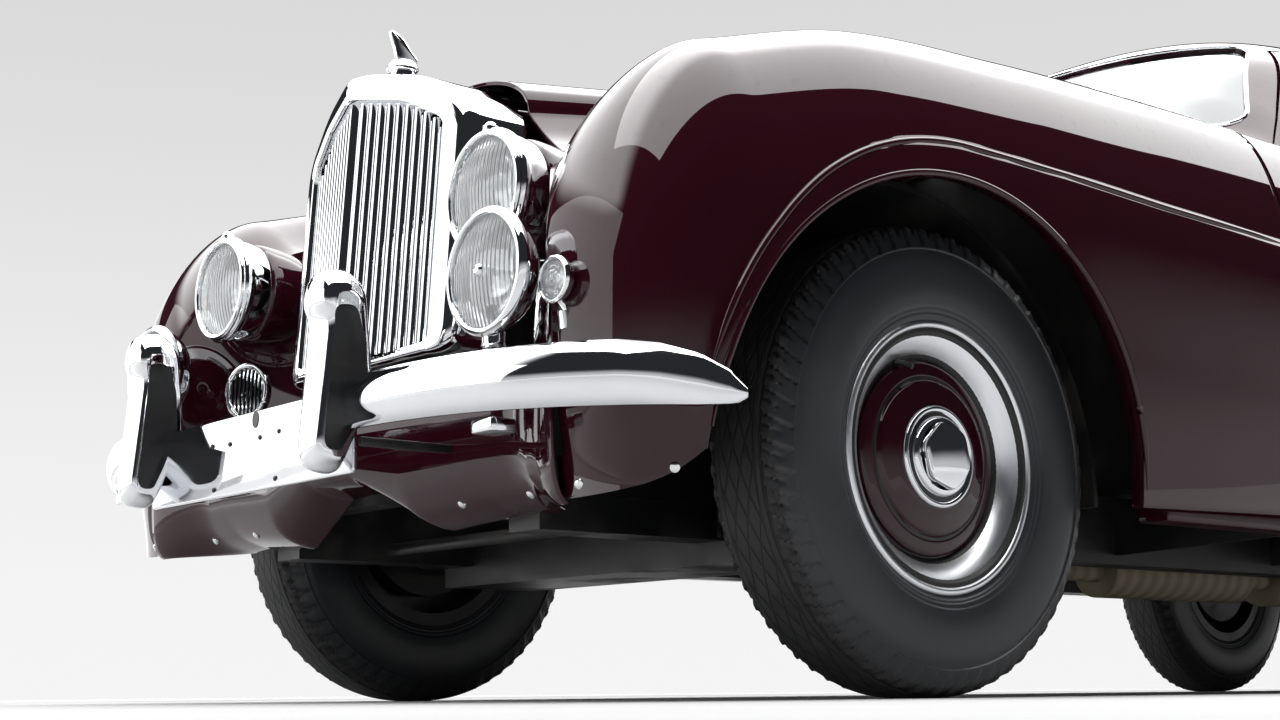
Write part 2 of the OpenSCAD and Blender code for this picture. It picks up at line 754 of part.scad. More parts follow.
// Chassis: side rails kicked up over the rear axle, cross-members and outriggers
CROSS_X = [-1000, -1800, -2450, -4150];
OUTRIGGER_X = [-980, -1560, -2060];
tow_eye_x = -4268;
tow_eye_z = 425;
tow_eye_r = 14;
tow_eye_w = 20;
module chassis_frame() {
    rail = [[rail_front, rail_z], [rail_front, rail_top], [-2660, rail_top], [-2850, 590], [-3300, 590],
            [-3600, 470], [rail_rear, 470], [rail_rear, 390], [-3640, 390], [-3350, 500], [-2830, 500],
            [-2700, rail_z]];
    color(black)
        from_axle() {
            both_sides() {
                side_cut(rail, rail_y, rail_y + rail_w);
                for (x = OUTRIGGER_X)
                    front_cut([[rail_y + rail_w, 280], [sill_y[0], sill_z[0]], [sill_y[0], sill_z[1]],
                               [rail_y + rail_w, rail_top]], x, x + 8);
            }
            for (x = CROSS_X)
                box(x - 40, x + 40, -rail_y, rail_y, x < -4000 ? 395 : 332, x < -4000 ? 465 : rail_top);
            box(-110, 110, -430, 430, 224, 300);
            box(rail_front - 60, rail_front, -rail_y, rail_y, 340, rail_top);
            across(300, 286, 12, -rail_y, rail_y);
            towing_eye();
        }
}
module towing_eye() {
    difference() {
        box(tow_eye_x - 26, -4180, -26, 26, tow_eye_z - tow_eye_w / 2, tow_eye_z + tow_eye_w / 2);
        translate([tow_eye_x, 0, tow_eye_z - tow_eye_w])
            cylinder(h = tow_eye_w * 2, r = tow_eye_r);
    }
}

// Front suspension: wishbones, coil springs, king pins and anti-roll bar
arm_lower = [264, 290];
arm_upper = [454, 480];
spring_y = 505;
spring_pan_r = 72;
spring_r = 56;
spring_core_r = 40;
spring_coils = 7;
// One coil's outline: radius and share of the pitch
COIL = [[spring_core_r, 0.1], [spring_r, 0.35], [spring_r, 0.65], [spring_core_r, 0.9]];
module wishbone(z0, z1) {
    translate([0, 0, z0])
        linear_extrude(z1 - z0)
            polygon([[-150, 431], [-110, 431], [-24, 590], [24, 590], [110, 431], [150, 431],
                     [32, king_pin_y + 26], [-32, king_pin_y + 26]]);
}
module coil_spring(z0, z1) {
    pitch = (z1 - z0) / spring_coils;
    side = [for (i = [0 : spring_coils - 1], p = COIL) [p[0], z0 + (i + p[1]) * pitch]];
    rotate_extrude($fn = 32)
        polygon(concat([[0, z0 - 5]], [[spring_core_r, z0 - 5]], side,
                       [[spring_core_r, z1 + 5], [0, z1 + 5]]));
}
module front_suspension() {
    color(black)
        from_axle()
            both_sides() {
                wishbone(arm_lower[0], arm_lower[1] - seat_fit);
                wishbone(arm_upper[0] + seat_fit, arm_upper[1]);
                translate([0, king_pin_y, arm_lower[0]])
                    cylinder(h = arm_upper[1] - arm_lower[0], r = king_pin_r);
                for (y = [430, 451])
                    box(-150, 150, y, y + 10, arm_lower[0], arm_upper[1]);
                for (z = [arm_lower[0], arm_upper[1] - 20])
                    translate([0, spring_y, z])
                        cylinder(h = 20, r = spring_pan_r);
                translate([0, spring_y, 0])
                    coil_spring(arm_lower[0] + 20, arm_upper[1] - 20);
            }
}

// Steering knuckle on its king pin, with the stub axle
module knuckle() {
    reach = front_track / 2 + 30;
    color("dimgray")
        from_axle()
            difference() {
                union() {
                    translate([0, king_pin_y, arm_lower[1]])
                        cylinder(h = arm_upper[0] - arm_lower[1], r = 27);
                    across(0, tyre_r, stub_r, king_pin_y, reach);
                    box(-150, -10, king_pin_y - 14, king_pin_y + 6, 318, 340);
                }
                translate([0, king_pin_y, 0])
                    cylinder(h = 600, r = king_pin_r + pin_fit);
            }
}
module knuckle_left() knuckle();
module knuckle_right() mirror([0, 1, 0]) knuckle();

// Rear axle with its leaf springs
module rear_axle() {
    tube = rear_track / 2 - 64;
    leaf = [[rear_x + 430, 366], [rear_x + 230, 322], [rear_x, 302], [rear_x - 230, 330],
            [rear_x - 430, 410]];
    color(black)
        from_axle() {
            across(rear_x, tyre_r, 45, -tube, tube);
            across(rear_x, tyre_r, stub_r, -rear_track / 2 - 30, rear_track / 2 + 30);
            translate([rear_x, 0, tyre_r])
                sphere(r = 130);
            both_sides() {
                side_cut(concat([for (p = leaf) p], [for (i = [4 : -1 : 0]) leaf[i] + [0, 26]]), 440, 500);
                box(rear_x - 60, rear_x + 60, 440, 500, 320, 350);
                box(rear_x + 410, rear_x + 430, rail_y + rail_w, 500, 350, 396);
                box(rear_x - 430, rear_x - 410, rail_y + rail_w, 500, 410, 500);
            }
        }
}

// Engine and gearbox as one plain block on its mounts
module engine_block() {
    color("dimgray")
        from_axle() {
            box(-820, 60, -165, 165, 420, 900);
            box(-1400, -820, -110, 110, 405, 640);
            box(-420, -340, -rail_y, rail_y, 420, 460);
            both_sides()
                box(-420, -340, rail_y - 30, rail_y + 40, rail_top, 460);
        }
}

// Exhaust pipe with its wrapped silencer
exhaust_y = 190;
exhaust_z = 268;
module exhaust() {
    color("tan")
        from_axle() {
            along(exhaust_y, exhaust_z, 24, -2480, -300);
            along(exhaust_y, exhaust_z, 62, -2380, -1860);
            along(exhaust_y, exhaust_z, 58, -1740, -1200);
            for (x = [-1800, -2450])
                box(x - 10, x + 10, exhaust_y - 12, exhaust_y + 12, exhaust_z, 332);
        }
}

// Floor, bulkheads, boot floor and inner wheel arches
bulkhead_x = -902;
rear_bulkhead_x = -2745;
rear_arch_r = 425;
facet_room = 6;
module bulkhead(x, vs, depth) {
    half = [for (v = vs) let (p = deep(x, v, depth)) [p[1], p[2]]];
    front_cut(concat(half, [for (i = [len(half) - 1 : -1 : 0]) [-half[i][0], half[i][1]]]),
              x - floor_wall, x);
}
module inner_arch(x, z, r, y0, y1, x0, x1, floor_z) {
    intersection() {
        difference() {
            across(x, z, r, y0, y1);
            across(x, z, r - 10, y0 + 14, y1 + 1);
        }
        box(x0, x1, y0, y1, floor_z, z + r);
    }
}
module floor_pan() {
    color(black)
        from_axle() {
            difference() {
                union() {
                    box(rear_bulkhead_x, bulkhead_x, -sill_y[0], sill_y[0], rail_top, rail_top + floor_wall);
                    box(-1430, bulkhead_x, -160, 160, rail_top, 680);
                }
                box(-1410, bulkhead_x + 1, -140, 140, rail_top - 1, 660);
                both_sides() {
                    box(-2790, -2650, rail_y - 1, rail_y + rail_w + 1, rail_top - 1, 600);
                    across(rear_x, tyre_r, rear_arch_r - 5, 572, 1000);
                }
            }
            intersection() {
                bulkhead(bulkhead_x + floor_wall, [0.05 : 0.05 : 0.95], roof_wall + facet_room);
                box(-1000, -800, -700, 700, rail_top, 1300);
            }
            difference() {
                union() {
                    box(bulkhead_x, bulkhead_x + floor_wall, -560, 560, rail_top, 1030);
                    box(bulkhead_x, bulkhead_x + floor_wall, -500, 500, 1020, 1092);
                }
                box(bulkhead_x - 1, bulkhead_x + 20, -140, 140, rail_top - 1, 660);
            }
            both_sides() {
                inner_arch(arch_x, arch_z, 495, rail_y + rail_w, 760, -440, 490, arch_z);
                inner_arch(rear_x, tyre_r, rear_arch_r, 570, 840, rear_x - 430, rear_x + 430, 592);
            }
            box(-3620, rear_bulkhead_x, -572, 572, 592, 604);
            box(-3632, -3620, -420, 420, 472, 604);
            box(-4230, -3620, -420, 420, 472, 484);
            difference() {
                bulkhead(rear_bulkhead_x, [for (v = [1.5 : 0.25 : 3.75]) v], wing_wall + facet_room);
                both_sides() {
                    box(-2800, -2700, rail_y - 2, rail_y + rail_w + 2, 300, 592);
                    box(-2800, -2700, 572, 1000, 300, 592);
                    across(rear_x, tyre_r, rear_arch_r - 5, 572, 1000);
                }
                box(-2800, -2700, -300, 300, 300, rail_top);
            }
        }
}

// Seats, dashboard and steering wheel
module seat(y0, y1, x0, x1, back_x, back_h) {
    base_z = rail_top + floor_wall;
    cushion_z = base_z + 190;
    side_cut(rounded([[x0, base_z], [x0 + 20, cushion_z - 20], [x1 + 20, cushion_z - 40], [back_x, back_h],
                      [back_x - 90, back_h], [x1 - 90, cushion_z], [x1, base_z]], 30), y0, y1);
}
module front_seats() {
    color("tan")
        from_axle()
            both_sides()
                seat(90, 590, -1640, -2140, -2210, 1040);
}
module rear_seat() {
    color("tan")
        from_axle()
            seat(-520, 520, -2400, -2630, -2650, 960);
}
steering_y = -370;
steering_x = -1500;
steering_z = 930;
column_tilt = 25;
shaft_r = 10;
column_r = 22;
column_run = (bulkhead_x - seat_fit - steering_x - column_r * sin(column_tilt)) / cos(column_tilt);
module on_column() {
    translate([steering_x, steering_y, steering_z])
        rotate([0, 90 + column_tilt, 0])
            children();
}
module dashboard() {
    color("saddlebrown")
        from_axle() {
            box(-1170, -1145, -600, 600, 850, 1040);
            box(-1146, bulkhead_x, -588, 588, 1020, 1040);
            on_column() {
                translate([0, 0, -30])
                    cylinder(h = 400, r = shaft_r);
                translate([0, 0, 30])
                    cylinder(h = column_run - 30, r = column_r);
            }
        }
}
module steering_wheel() {
    color(black)
        from_axle()
            on_column() {
                rotate_extrude()
                    translate([steering_wheel_r, 0])
                        circle(r = grip_r);
                difference() {
                    union() {
                        translate([0, 0, -28])
                            cylinder(h = 56, r = 34);
                        for (a = [0, 120, 240])
                            rotate([0, 0, a])
                                translate([20, -9, -4])
                                    cube([steering_wheel_r - 20, 18, 8]);
                    }
                    translate([0, 0, -100])
                        cylinder(h = 200, r = shaft_r + pin_fit);
                }
            }
}

// Wheels: radius and place along the axle, outboard positive
hub_in = -58;
hub_out = 34;
module tyre_at(x, track) {
    half = tyre_w / 2;
    bead = rim_w / 2 - 9;
    side = [[rim_r + 0.2, bead], [rim_r + 12, bead], [rim_r + 26, half - 8], [rim_r + 62, half], [rim_r + 100, half],
            [tyre_r - 28, half - 8], [tyre_r - 10, half - 20], [tyre_r - 2, half - 44], [tyre_r, half - 70]];
    color("#161616")
        from_axle()
            translate([x, track / 2, tyre_r])
                rotate([-90, 0, 0])
                    rotate_extrude($fn = 64)
                        polygon(concat(side, [for (i = [len(side) - 1 : -1 : 0]) [side[i][0], -side[i][1]]]));
}
module wheel_at(x, track) {
    half = rim_w / 2;
    color(bright)
        from_axle()
            translate([x, track / 2, tyre_r])
                rotate([-90, 0, 0]) {
                    rotate_extrude($fn = 64)
                        polygon([
                            [stub_r + pin_fit, hub_in], [drum_r, hub_in], [drum_r, -12], [60, -12], [60, 16],
                            [rim_r - 16, 16], [rim_r - 16, -half], [rim_r + 10, -half], [rim_r + 10, -half + 7],
                            [rim_r, -half + 8.5], [rim_r, half - 8.5], [rim_r + 10, half - 7], [rim_r + 10, half],
                            [rim_r - 6, half], [cover_r + 14, 46], [cover_r + 2, 34], [cover_r - 4, 46],
                            [cover_r - 42, 56], [cap_r, 60], [cap_r, 68], [cap_r - 12, 72], [0, 72], [0, hub_out],
                            [stub_r + pin_fit, hub_out]
                        ]);
                    translate([0, 0, 70])
                        cylinder(h = 14, r = cap_r - 20, $fn = 6);
                }
}
module tyre_front_left() tyre_at(0, front_track);
module tyre_front_right() mirror([0, 1, 0]) tyre_at(0, front_track);
module tyre_rear_left() tyre_at(rear_x, rear_track);
module tyre_rear_right() mirror([0, 1, 0]) tyre_at(rear_x, rear_track);
module wheel_front_left() wheel_at(0, front_track);
module wheel_front_right() mirror([0, 1, 0]) wheel_at(0, front_track);
module wheel_rear_left() wheel_at(rear_x, rear_track);
module wheel_rear_right() mirror([0, 1, 0]) wheel_at(rear_x, rear_track);

chassis_frame();
front_suspension();
rear_axle();
engine_block();
exhaust();
floor_pan();
front_wing_left();
front_wing_right();
front_apron();
scuttle();
roof_shell();
rear_wing_left();
rear_wing_right();
wheel_spats();
sills();
window_glass();
radiator_shell();
radiator_slats();
lamp_shells();
lamp_lenses();
front_bumper();
rear_bumper();
tail_lamps();
front_seats();
rear_seat();
dashboard();
bonnet_left();
bonnet_right();
door_left();
door_right();
door_glass_left();
door_glass_right();
boot_lid();
tail_panel();
steering_wheel();
knuckle_left();
knuckle_right();
tyre_front_left();
tyre_front_right();
tyre_rear_left();
tyre_rear_right();
wheel_front_left();
wheel_front_right();
wheel_rear_left();
wheel_rear_right();
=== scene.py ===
import math
from functools import lru_cache

import bmesh
import bpy
from mathutils import Matrix, Vector


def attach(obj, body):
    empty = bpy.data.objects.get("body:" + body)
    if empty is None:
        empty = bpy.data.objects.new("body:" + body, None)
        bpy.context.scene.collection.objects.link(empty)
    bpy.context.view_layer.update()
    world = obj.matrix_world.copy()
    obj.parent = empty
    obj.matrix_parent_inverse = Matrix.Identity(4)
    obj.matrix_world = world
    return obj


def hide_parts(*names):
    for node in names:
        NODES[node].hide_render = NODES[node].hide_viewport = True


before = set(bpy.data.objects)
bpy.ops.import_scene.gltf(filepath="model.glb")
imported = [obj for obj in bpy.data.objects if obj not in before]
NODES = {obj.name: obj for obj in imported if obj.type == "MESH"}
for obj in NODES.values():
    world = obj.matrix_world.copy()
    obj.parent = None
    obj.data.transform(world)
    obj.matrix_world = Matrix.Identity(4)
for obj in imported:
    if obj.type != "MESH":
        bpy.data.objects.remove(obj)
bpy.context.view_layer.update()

# Shapes count in millimetres from the front axle line; done() brings them into the shared frame, in metres.
FRONT_AXLE = 1.7625
MILLIMETRE = 0.001
TO_FRAME = Matrix.Translation((FRONT_AXLE, 0, 0)) @ Matrix.Scale(MILLIMETRE, 4)
SIDES = (("left", 1), ("right", -1))


# Materials

class Sock:
    """A shader socket on which sums are written; node() makes any other node of its tree."""

    def __init__(self, tree, socket=None):
        self.tree, self.socket = tree, socket

    def node(self, kind, out=0, sockets=None, **settings):
        made = self.tree.nodes.new("ShaderNode" + kind)
        for key, value in settings.items():
            setattr(made, key, value)
        for key, value in (sockets or {}).items():
            if isinstance(value, Sock):
                self.tree.links.new(value.socket, made.inputs[key])
            else:
                made.inputs[key].default_value = value
        return Sock(self.tree, made.outputs[out])

    def sum(self, kind, a, b):
        return self.node("Math", sockets={0: a, 1: b}, operation=kind)

    def __add__(self, other):
        return self.sum("ADD", self, other)

    def __radd__(self, other):
        return self.sum("ADD", other, self)

    def __sub__(self, other):
        return self.sum("SUBTRACT", self, other)

    def __rsub__(self, other):
        return self.sum("SUBTRACT", other, self)

    def __mul__(self, other):
        return self.sum("MULTIPLY", self, other)

    def __rmul__(self, other):
        return self.sum("MULTIPLY", other, self)

    def __pow__(self, other):
        return self.sum("POWER", self, other)

    def wave(self):
        return self.node("Math", sockets={0: self}, operation="SINE")

    def magnitude(self):
        return self.node("Math", sockets={0: self}, operation="ABSOLUTE")

    def least(self, other):
        return self.sum("MINIMUM", self, other)

    def most(self, other):
        return self.sum("MAXIMUM", self, other)

    def ramp(self, low, high, to_low=0.0, to_high=1.0):
        return self.node("MapRange", sockets={0: self, 1: low, 2: high, 3: to_low, 4: to_high},
                         interpolation_type="SMOOTHSTEP")

    def between(self, a, b):
        """Colour a where this is 0 and b where it is 1."""
        return self.node("Mix", 2, {0: self, 6: colour(a), 7: colour(b)}, data_type="RGBA")

    def place(self):
        return self.node("TexCoord", 3)

    def axis(self, letter):
        return self.node("SeparateXYZ", "XYZ".index(letter), {0: self.place()})

    def stretched(self, x, y, z):
        return self.node("Mapping", 0, {"Vector": self.place(), "Scale": (x, y, z)})

    def noise(self, scale, detail=3.0, at=None):
        return self.node("TexNoise", 0, {"Vector": at or self.place(), "Scale": scale, "Detail": detail,
                                         "Roughness": 0.55})

    def bump(self, height, strength, distance):
        return self.node("Bump", 0, {"Height": height, "Strength": strength, "Distance": distance})


def colour(value):
    return value if isinstance(value, Sock) or len(value) == 4 else (*value, 1.0)


def material(name, build, **fixed):
    made = bpy.data.materials.new(name)
    made.use_nodes = True
    tree = made.node_tree
    shader = tree.nodes["Principled BSDF"]
    for key, value in fixed.items():
        shader.inputs[key.replace("_", " ")].default_value = value
    for key, value in build(Sock(tree)).items():
        tree.links.new(value.socket, shader.inputs[key])
    return made


def paint_look(s):
    cloud = s.noise(1.7)
    haze = s.noise(55, 5)
    peel = s.noise(420, 2)
    return {
        "Base Color": cloud.between((0.024, 0.0028, 0.0070), (0.032, 0.0042, 0.0096)),
        "Roughness": 0.42 + 0.12 * haze,
        "Coat Weight": 1.0 - 0.08 * haze.ramp(0.55, 0.75),
        "Normal": s.bump(peel, 0.02, 0.0003),
    }


def chrome_look(s):
    smear = s.noise(14, 6)
    pits = s.noise(260, 3).ramp(0.62, 0.72)
    return {
        "Base Color": smear.between((0.80, 0.82, 0.85), (0.91, 0.92, 0.94)),
        "Roughness": 0.035 + 0.05 * smear.ramp(0.45, 0.75) + 0.05 * pits,
    }


def polished_look(s):
    streak = s.noise(30, 5, s.stretched(1, 9, 1))
    return {
        "Base Color": streak.between((0.76, 0.78, 0.81), (0.88, 0.90, 0.92)),
        "Roughness": 0.24 + 0.16 * streak,
    }


def rubber_look(s):
    dust = s.noise(4, 5).ramp(0.45, 0.8)
    grain = s.noise(900, 2)
    return {
        "Base Color": (0.6 * dust).between((0.026, 0.028, 0.032), (0.046, 0.049, 0.054)),
        "Roughness": 0.36 + 0.12 * dust,
        "Normal": s.bump(grain, 0.05, 0.0003),
    }


# The tread's own map across the tyre: millimetres over TREAD_SPAN, moved up by TREAD_SHIFT
TREAD_SPAN, TREAD_SHIFT = 100.0, 2.0
TREAD_PITCH = 26.0


def tread_look(s):
    """Straight ribs beside a lattice of crossing grooves, on the tyre's own running length and width."""
    place = s.node("UVMap", 0, uv_map="tread")
    run, wide = s.node("SeparateXYZ", 0, {0: place}), s.node("SeparateXYZ", 1, {0: place})
    off = ((wide - TREAD_SHIFT) * TREAD_SPAN).magnitude()
    outer_groove = (off - 49.0).magnitude().ramp(1.0, 2.6)
    inner_groove = (off - 37.0).magnitude().ramp(0.8, 2.2)
    height = outer_groove.least(inner_groove)
    for lean in (0.5, -0.5):
        across = wide * (TREAD_SPAN / TREAD_PITCH) + run * lean + 40.0
        line = s.sum("PINGPONG", across, 0.5).ramp(0.035, 0.10)
        height = height.least(line.most(off.ramp(33.0, 36.0)))
    dust = s.noise(14, 5).ramp(0.4, 0.8)
    # Base colour is darker in the grooves than on the ribs: painted shade in the grooves, with dust varying
    # the ribs' tone at random.
    groove_shade_and_dust = height * (0.35 + 0.65 * dust)
    return {
        "Base Color": groove_shade_and_dust.between((0.008, 0.008, 0.009), (0.040, 0.041, 0.043)),
        "Roughness": 0.62 + 0.2 * dust,
        "Normal": s.bump(height, 1.0, 0.005),
    }


def chassis_look(s):
    grime = s.noise(7, 7).ramp(0.45, 0.75)
    grain = s.noise(160, 4)
    return {
        "Base Color": grime.between((0.010, 0.0105, 0.0115), (0.040, 0.036, 0.032)),
        "Roughness": 0.38 + 0.35 * grime,
        "Normal": s.bump(grain, 0.25, 0.0006),
    }


def engine_look(s):
    oil = s.noise(11, 6).ramp(0.4, 0.7)
    grain = s.noise(240, 3)
    return {
        "Base Color": oil.between((0.16, 0.17, 0.17), (0.05, 0.048, 0.044)),
        "Roughness": 0.62 - 0.22 * oil,
        "Normal": s.bump(grain, 0.35, 0.0008),
    }


def wrap_look(s):
    bands = (s.axis("X") * 130.0 + s.axis("Y") * 40.0).wave().ramp(-1, 1)
    weave = s.noise(380, 3)
    soot = s.noise(6, 5).ramp(0.5, 0.8)
    return {
        "Base Color": (0.5 * bands + 0.5 * soot).between((0.36, 0.30, 0.21), (0.15, 0.12, 0.09)),
        "Roughness": 0.85 + 0.1 * weave,
        "Normal": s.bump(bands + 0.4 * weave, 0.5, 0.002),
    }


def leather_look(s):
    cells = s.node("TexVoronoi", 0, {"Vector": s.place(), "Scale": 420.0})
    tone = s.noise(5, 4)
    return {
        "Base Color": tone.between((0.36, 0.21, 0.10), (0.47, 0.30, 0.16)),
        "Roughness": 0.45 + 0.2 * tone,
        "Normal": s.bump(cells, 0.25, 0.0006),
    }


def walnut_look(s):
    warp = s.noise(5, 5, s.stretched(1, 0.35, 1))
    rings = (warp * 46.0 + s.axis("Z") * 90.0).wave().ramp(-1, 1)
    pores = s.noise(300, 3, s.stretched(1, 0.06, 1))
    return {
        "Base Color": (0.65 * rings + 0.35 * pores).between((0.085, 0.030, 0.010), (0.26, 0.12, 0.045)),
        "Roughness": 0.22 + 0.14 * pores,
        "Coat Weight": 0.8 + 0.2 * rings,
    }


def plastic_look(s):
    grain = s.noise(520, 3)
    wear = s.noise(18, 4).ramp(0.5, 0.8)
    return {
        "Base Color": wear.between((0.012, 0.012, 0.013), (0.03, 0.03, 0.031)),
        "Roughness": 0.30 + 0.2 * wear,
        "Normal": s.bump(grain, 0.12, 0.0004),
    }


def red_look(s):
    depth = s.noise(60, 2)
    ribs = (s.axis("Z") * 900.0).wave().ramp(-1, 1)
    return {
        "Base Color": depth.between((0.30, 0.006, 0.006), (0.48, 0.016, 0.012)),
        "Roughness": 0.10 + 0.08 * depth,
        "Normal": s.bump(ribs, 0.35, 0.001),
    }


def glass_material(name, tint, least_mirror, milk=0.0, flutes=None):
    """Clear sheet: see-through straight on, a mirror at a glance, with faint smears; milk clouds it."""
    made = bpy.data.materials.new(name)
    made.use_nodes = True
    tree = made.node_tree
    tree.nodes.clear()
    s = Sock(tree)
    smear = s.noise(12, 5)
    glossy = {"Color": (0.95, 0.97, 0.98, 1), "Roughness": 0.02 + 0.05 * smear.ramp(0.5, 0.8)}
    clouded = {"Color": (0.76, 0.78, 0.79, 1)}
    if flutes:
        glossy["Normal"] = clouded["Normal"] = s.bump(flutes(s), 0.8, 0.003)
    glance = s.node("LayerWeight", 0, {"Blend": 0.35})
    clear = s.node("BsdfTransparent", 0, {"Color": (*tint, 1)})
    if milk:
        cloud = s.node("BsdfDiffuse", 0, clouded)
        clear = s.node("MixShader", 0, {0: milk * (0.7 + 0.6 * smear), 1: clear, 2: cloud})
    mirror = s.node("BsdfGlossy", 0, glossy)
    share = glance * (1.0 - least_mirror) + least_mirror
    both = s.node("MixShader", 0, {0: share, 1: clear, 2: mirror})
    out = tree.nodes.new("ShaderNodeOutputMaterial")
    tree.links.new(both.socket, out.inputs[0])
    return made


PAINT = material("burgundy_paint", paint_look, Coat_Roughness=0.02, Specular_IOR_Level=0.0)
CHROME = material("chrome_plate", chrome_look, Metallic=1.0)
POLISHED = material("polished_metal", polished_look, Metallic=1.0)
RUBBER = material("tyre_rubber", rubber_look)
TREAD = material("tyre_tread", tread_look)
CHASSIS = material("chassis_black", chassis_look)
ENGINE = material("engine_grey", engine_look)
WRAP = material("exhaust_wrap", wrap_look)
LEATHER = material("tan_leather", leather_look)
WALNUT = material("walnut", walnut_look, Coat_Roughness=0.05)
PLASTIC = material("black_plastic", plastic_look)
RED = material("red_lens", red_look, Coat_Weight=1.0)
GLASS = glass_material("window_glass", (0.80, 0.86, 0.84), 0.10)
LENS = glass_material("lamp_glass", (0.93, 0.95, 0.95), 0.10, 0.5,
                      lambda s: (s.axis("Y") * 700.0).wave() * 0.7 + (s.axis("Z") * 160.0).wave() * 0.3)

CAD_LOOKS = {
    CHASSIS: "chassis_frame front_suspension rear_axle floor_pan knuckle_left knuckle_right "
             "wheel_front_left wheel_front_right wheel_rear_left wheel_rear_right",
    ENGINE: "engine_block",
    WRAP: "exhaust",
    PAINT: "front_wing_left front_wing_right front_apron scuttle roof_shell rear_wing_left rear_wing_right "
           "wheel_spats sills bonnet_left bonnet_right door_left door_right boot_lid tail_panel",
    GLASS: "window_glass door_glass_left door_glass_right",
    CHROME: "radiator_shell radiator_slats lamp_shells front_bumper rear_bumper",
    LENS: "lamp_lenses",
    RED: "tail_lamps",
    LEATHER: "front_seats rear_seat",
    WALNUT: "dashboard",
    PLASTIC: "steering_wheel",
    RUBBER: "tyre_front_left tyre_front_right tyre_rear_left tyre_rear_right",
}
for look, names in CAD_LOOKS.items():
    for name in names.split():
        NODES[name].data.materials.clear()
        NODES[name].data.materials.append(look)


# Body surface, as in the part

# x, shoulder y z, wing crown y z, valley depth, widest y z, lower edge y z
SIDE = (
    (430, 255, 985, 690, 985, 120, 862, 700, 846, 296),
    (150, 325, 1010, 705, 1058, 115, 886, 740, 850, 300),
    (-200, 420, 1038, 722, 1080, 80, 893, 770, 868, 304),
    (-550, 515, 1064, 738, 1089, 40, 893, 760, 868, 312),
    (-900, 606, 1086, 752, 1090, 8, 893, 740, 865, 320),
    (-1420, 690, 1090, 770, 1078, 0, 891, 710, 860, 322),
    (-2000, 712, 1080, 786, 1048, 0, 890, 690, 855, 322),
    (-2600, 684, 1056, 786, 998, 0, 899, 670, 858, 322),
    (-3048, 620, 1016, 772, 962, 8, 904, 660, 862, 324),
    (-3500, 512, 930, 730, 890, 24, 884, 640, 836, 340),
    (-3900, 380, 800, 638, 786, 30, 800, 600, 745, 372),
    (-4200, 262, 646, 500, 640, 16, 655, 530, 585, 420),
    (-4350, 190, 505, 400, 505, 0, 520, 470, 480, 445),
)
# x, height of the middle line, fullness, lean
TOP = (
    (430, 1080, 2.5, 0), (-200, 1131, 2.4, 0), (-900, 1187.6, 2.4, 0), (-1050, 1203, 2.4, 0),
    (-1220, 1382, 2.7, 0.06), (-1430, 1532, 3.1, 0.1), (-1700, 1586, 3.2, 0.1), (-2000, 1600, 3.2, 0.1),
    (-2400, 1574, 3.1, 0.1), (-2800, 1484, 2.9, 0.09), (-3200, 1330, 2.7, 0.07), (-3600, 1122, 2.5, 0.04),
    (-3950, 898, 2.4, 0.02), (-4200, 706, 2.3, 0), (-4350, 560, 2.2, 0),
)
NOSE_X, NOSE_LEN, NOSE_Y, NOSE_Z, NOSE_FULL, NOSE_DROP = 430, 220, 640, 560, 2.6, 26
# Lower nose: how far its edge is tucked back and in, and the station where the tuck starts
TUCK_BACK, TUCK_IN, TUCK_FROM = 26, 30, 3.2
FLANK_Y, FLANK_Z = 274, 430
VALLEY, WING_EDGE, BONNET_EDGE = 0.4, 1.3, 1.25
# Middle line of the bonnet: straight from its back edge to the nose
BONNET_BACK_X, BONNET_BACK_Z, BONNET_FRONT_Z = -900, 1187.6, 1080
BONNET_RISE = (BONNET_BACK_Z - BONNET_FRONT_Z) / (NOSE_X - BONNET_BACK_X)
# Windscreen's bow in plan: depth, where it starts and its run, where it fades and the fade's run
BOW, BOW_FROM, BOW_RUN, BOW_FADE_FROM, BOW_FADE = 180, -950, 170, -1400, 620


def mix(a, b, t):
    return a + (b - a) * t


def ease(t):
    t = min(1.0, max(0.0, t))
    return t * t * (3 - 2 * t)


def steps(a, b, n):
    return [mix(a, b, i / n) for i in range(n + 1)]


@lru_cache(None)
def row(table, x):
    i = next((k for k in range(len(table) - 2) if x >= table[k + 1][0]), len(table) - 2)
    a, b = table[i], table[i + 1]
    h = b[0] - a[0]
    t = (x - a[0]) / h

    def slope(k, c):
        p, q = table[max(k - 1, 0)], table[min(k + 1, len(table) - 1)]
        return (q[c] - p[c]) / (q[0] - p[0]) * h

    return [x] + [a[c] * (1 + 2 * t) * (1 - t) ** 2 + slope(i, c) * t * (1 - t) ** 2
                  + b[c] * t * t * (3 - 2 * t) - slope(i + 1, c) * t * t * (1 - t) for c in range(1, len(a))]


@lru_cache(None)
def middle_z(x):
    if x > BONNET_BACK_X:
        return BONNET_BACK_Z - (x - BONNET_BACK_X) * BONNET_RISE
    return row(TOP, x)[1]


@lru_cache(None)
def bow(u):
    return BOW * ease((BOW_FROM - u) / BOW_RUN) * (1 - ease((BOW_FADE_FROM - u) / BOW_FADE))


def side_point(x, v):
    s = row(SIDE, x)
    valley = min(s[2], s[4]) - s[5]
    if v <= 2:
        t = v - 1
        if t < VALLEY:
            z = valley + (s[2] - valley) * (1 - t / VALLEY) ** 2
        else:
            z = valley + (s[4] - valley) * (1 - math.cos(math.pi * (t - VALLEY) / (1 - VALLEY))) / 2
        return Vector((x, mix(s[1], s[3], t), z))
    if v <= 3:
        a = math.pi / 2 * (v - 2)
        return Vector((x, s[3] + (s[6] - s[3]) * math.sin(a), s[7] + (s[4] - s[7]) * math.cos(a)))
    return Vector((x, mix(s[6], s[8], (v - 3) ** 2), mix(s[7], s[9], v - 3)))


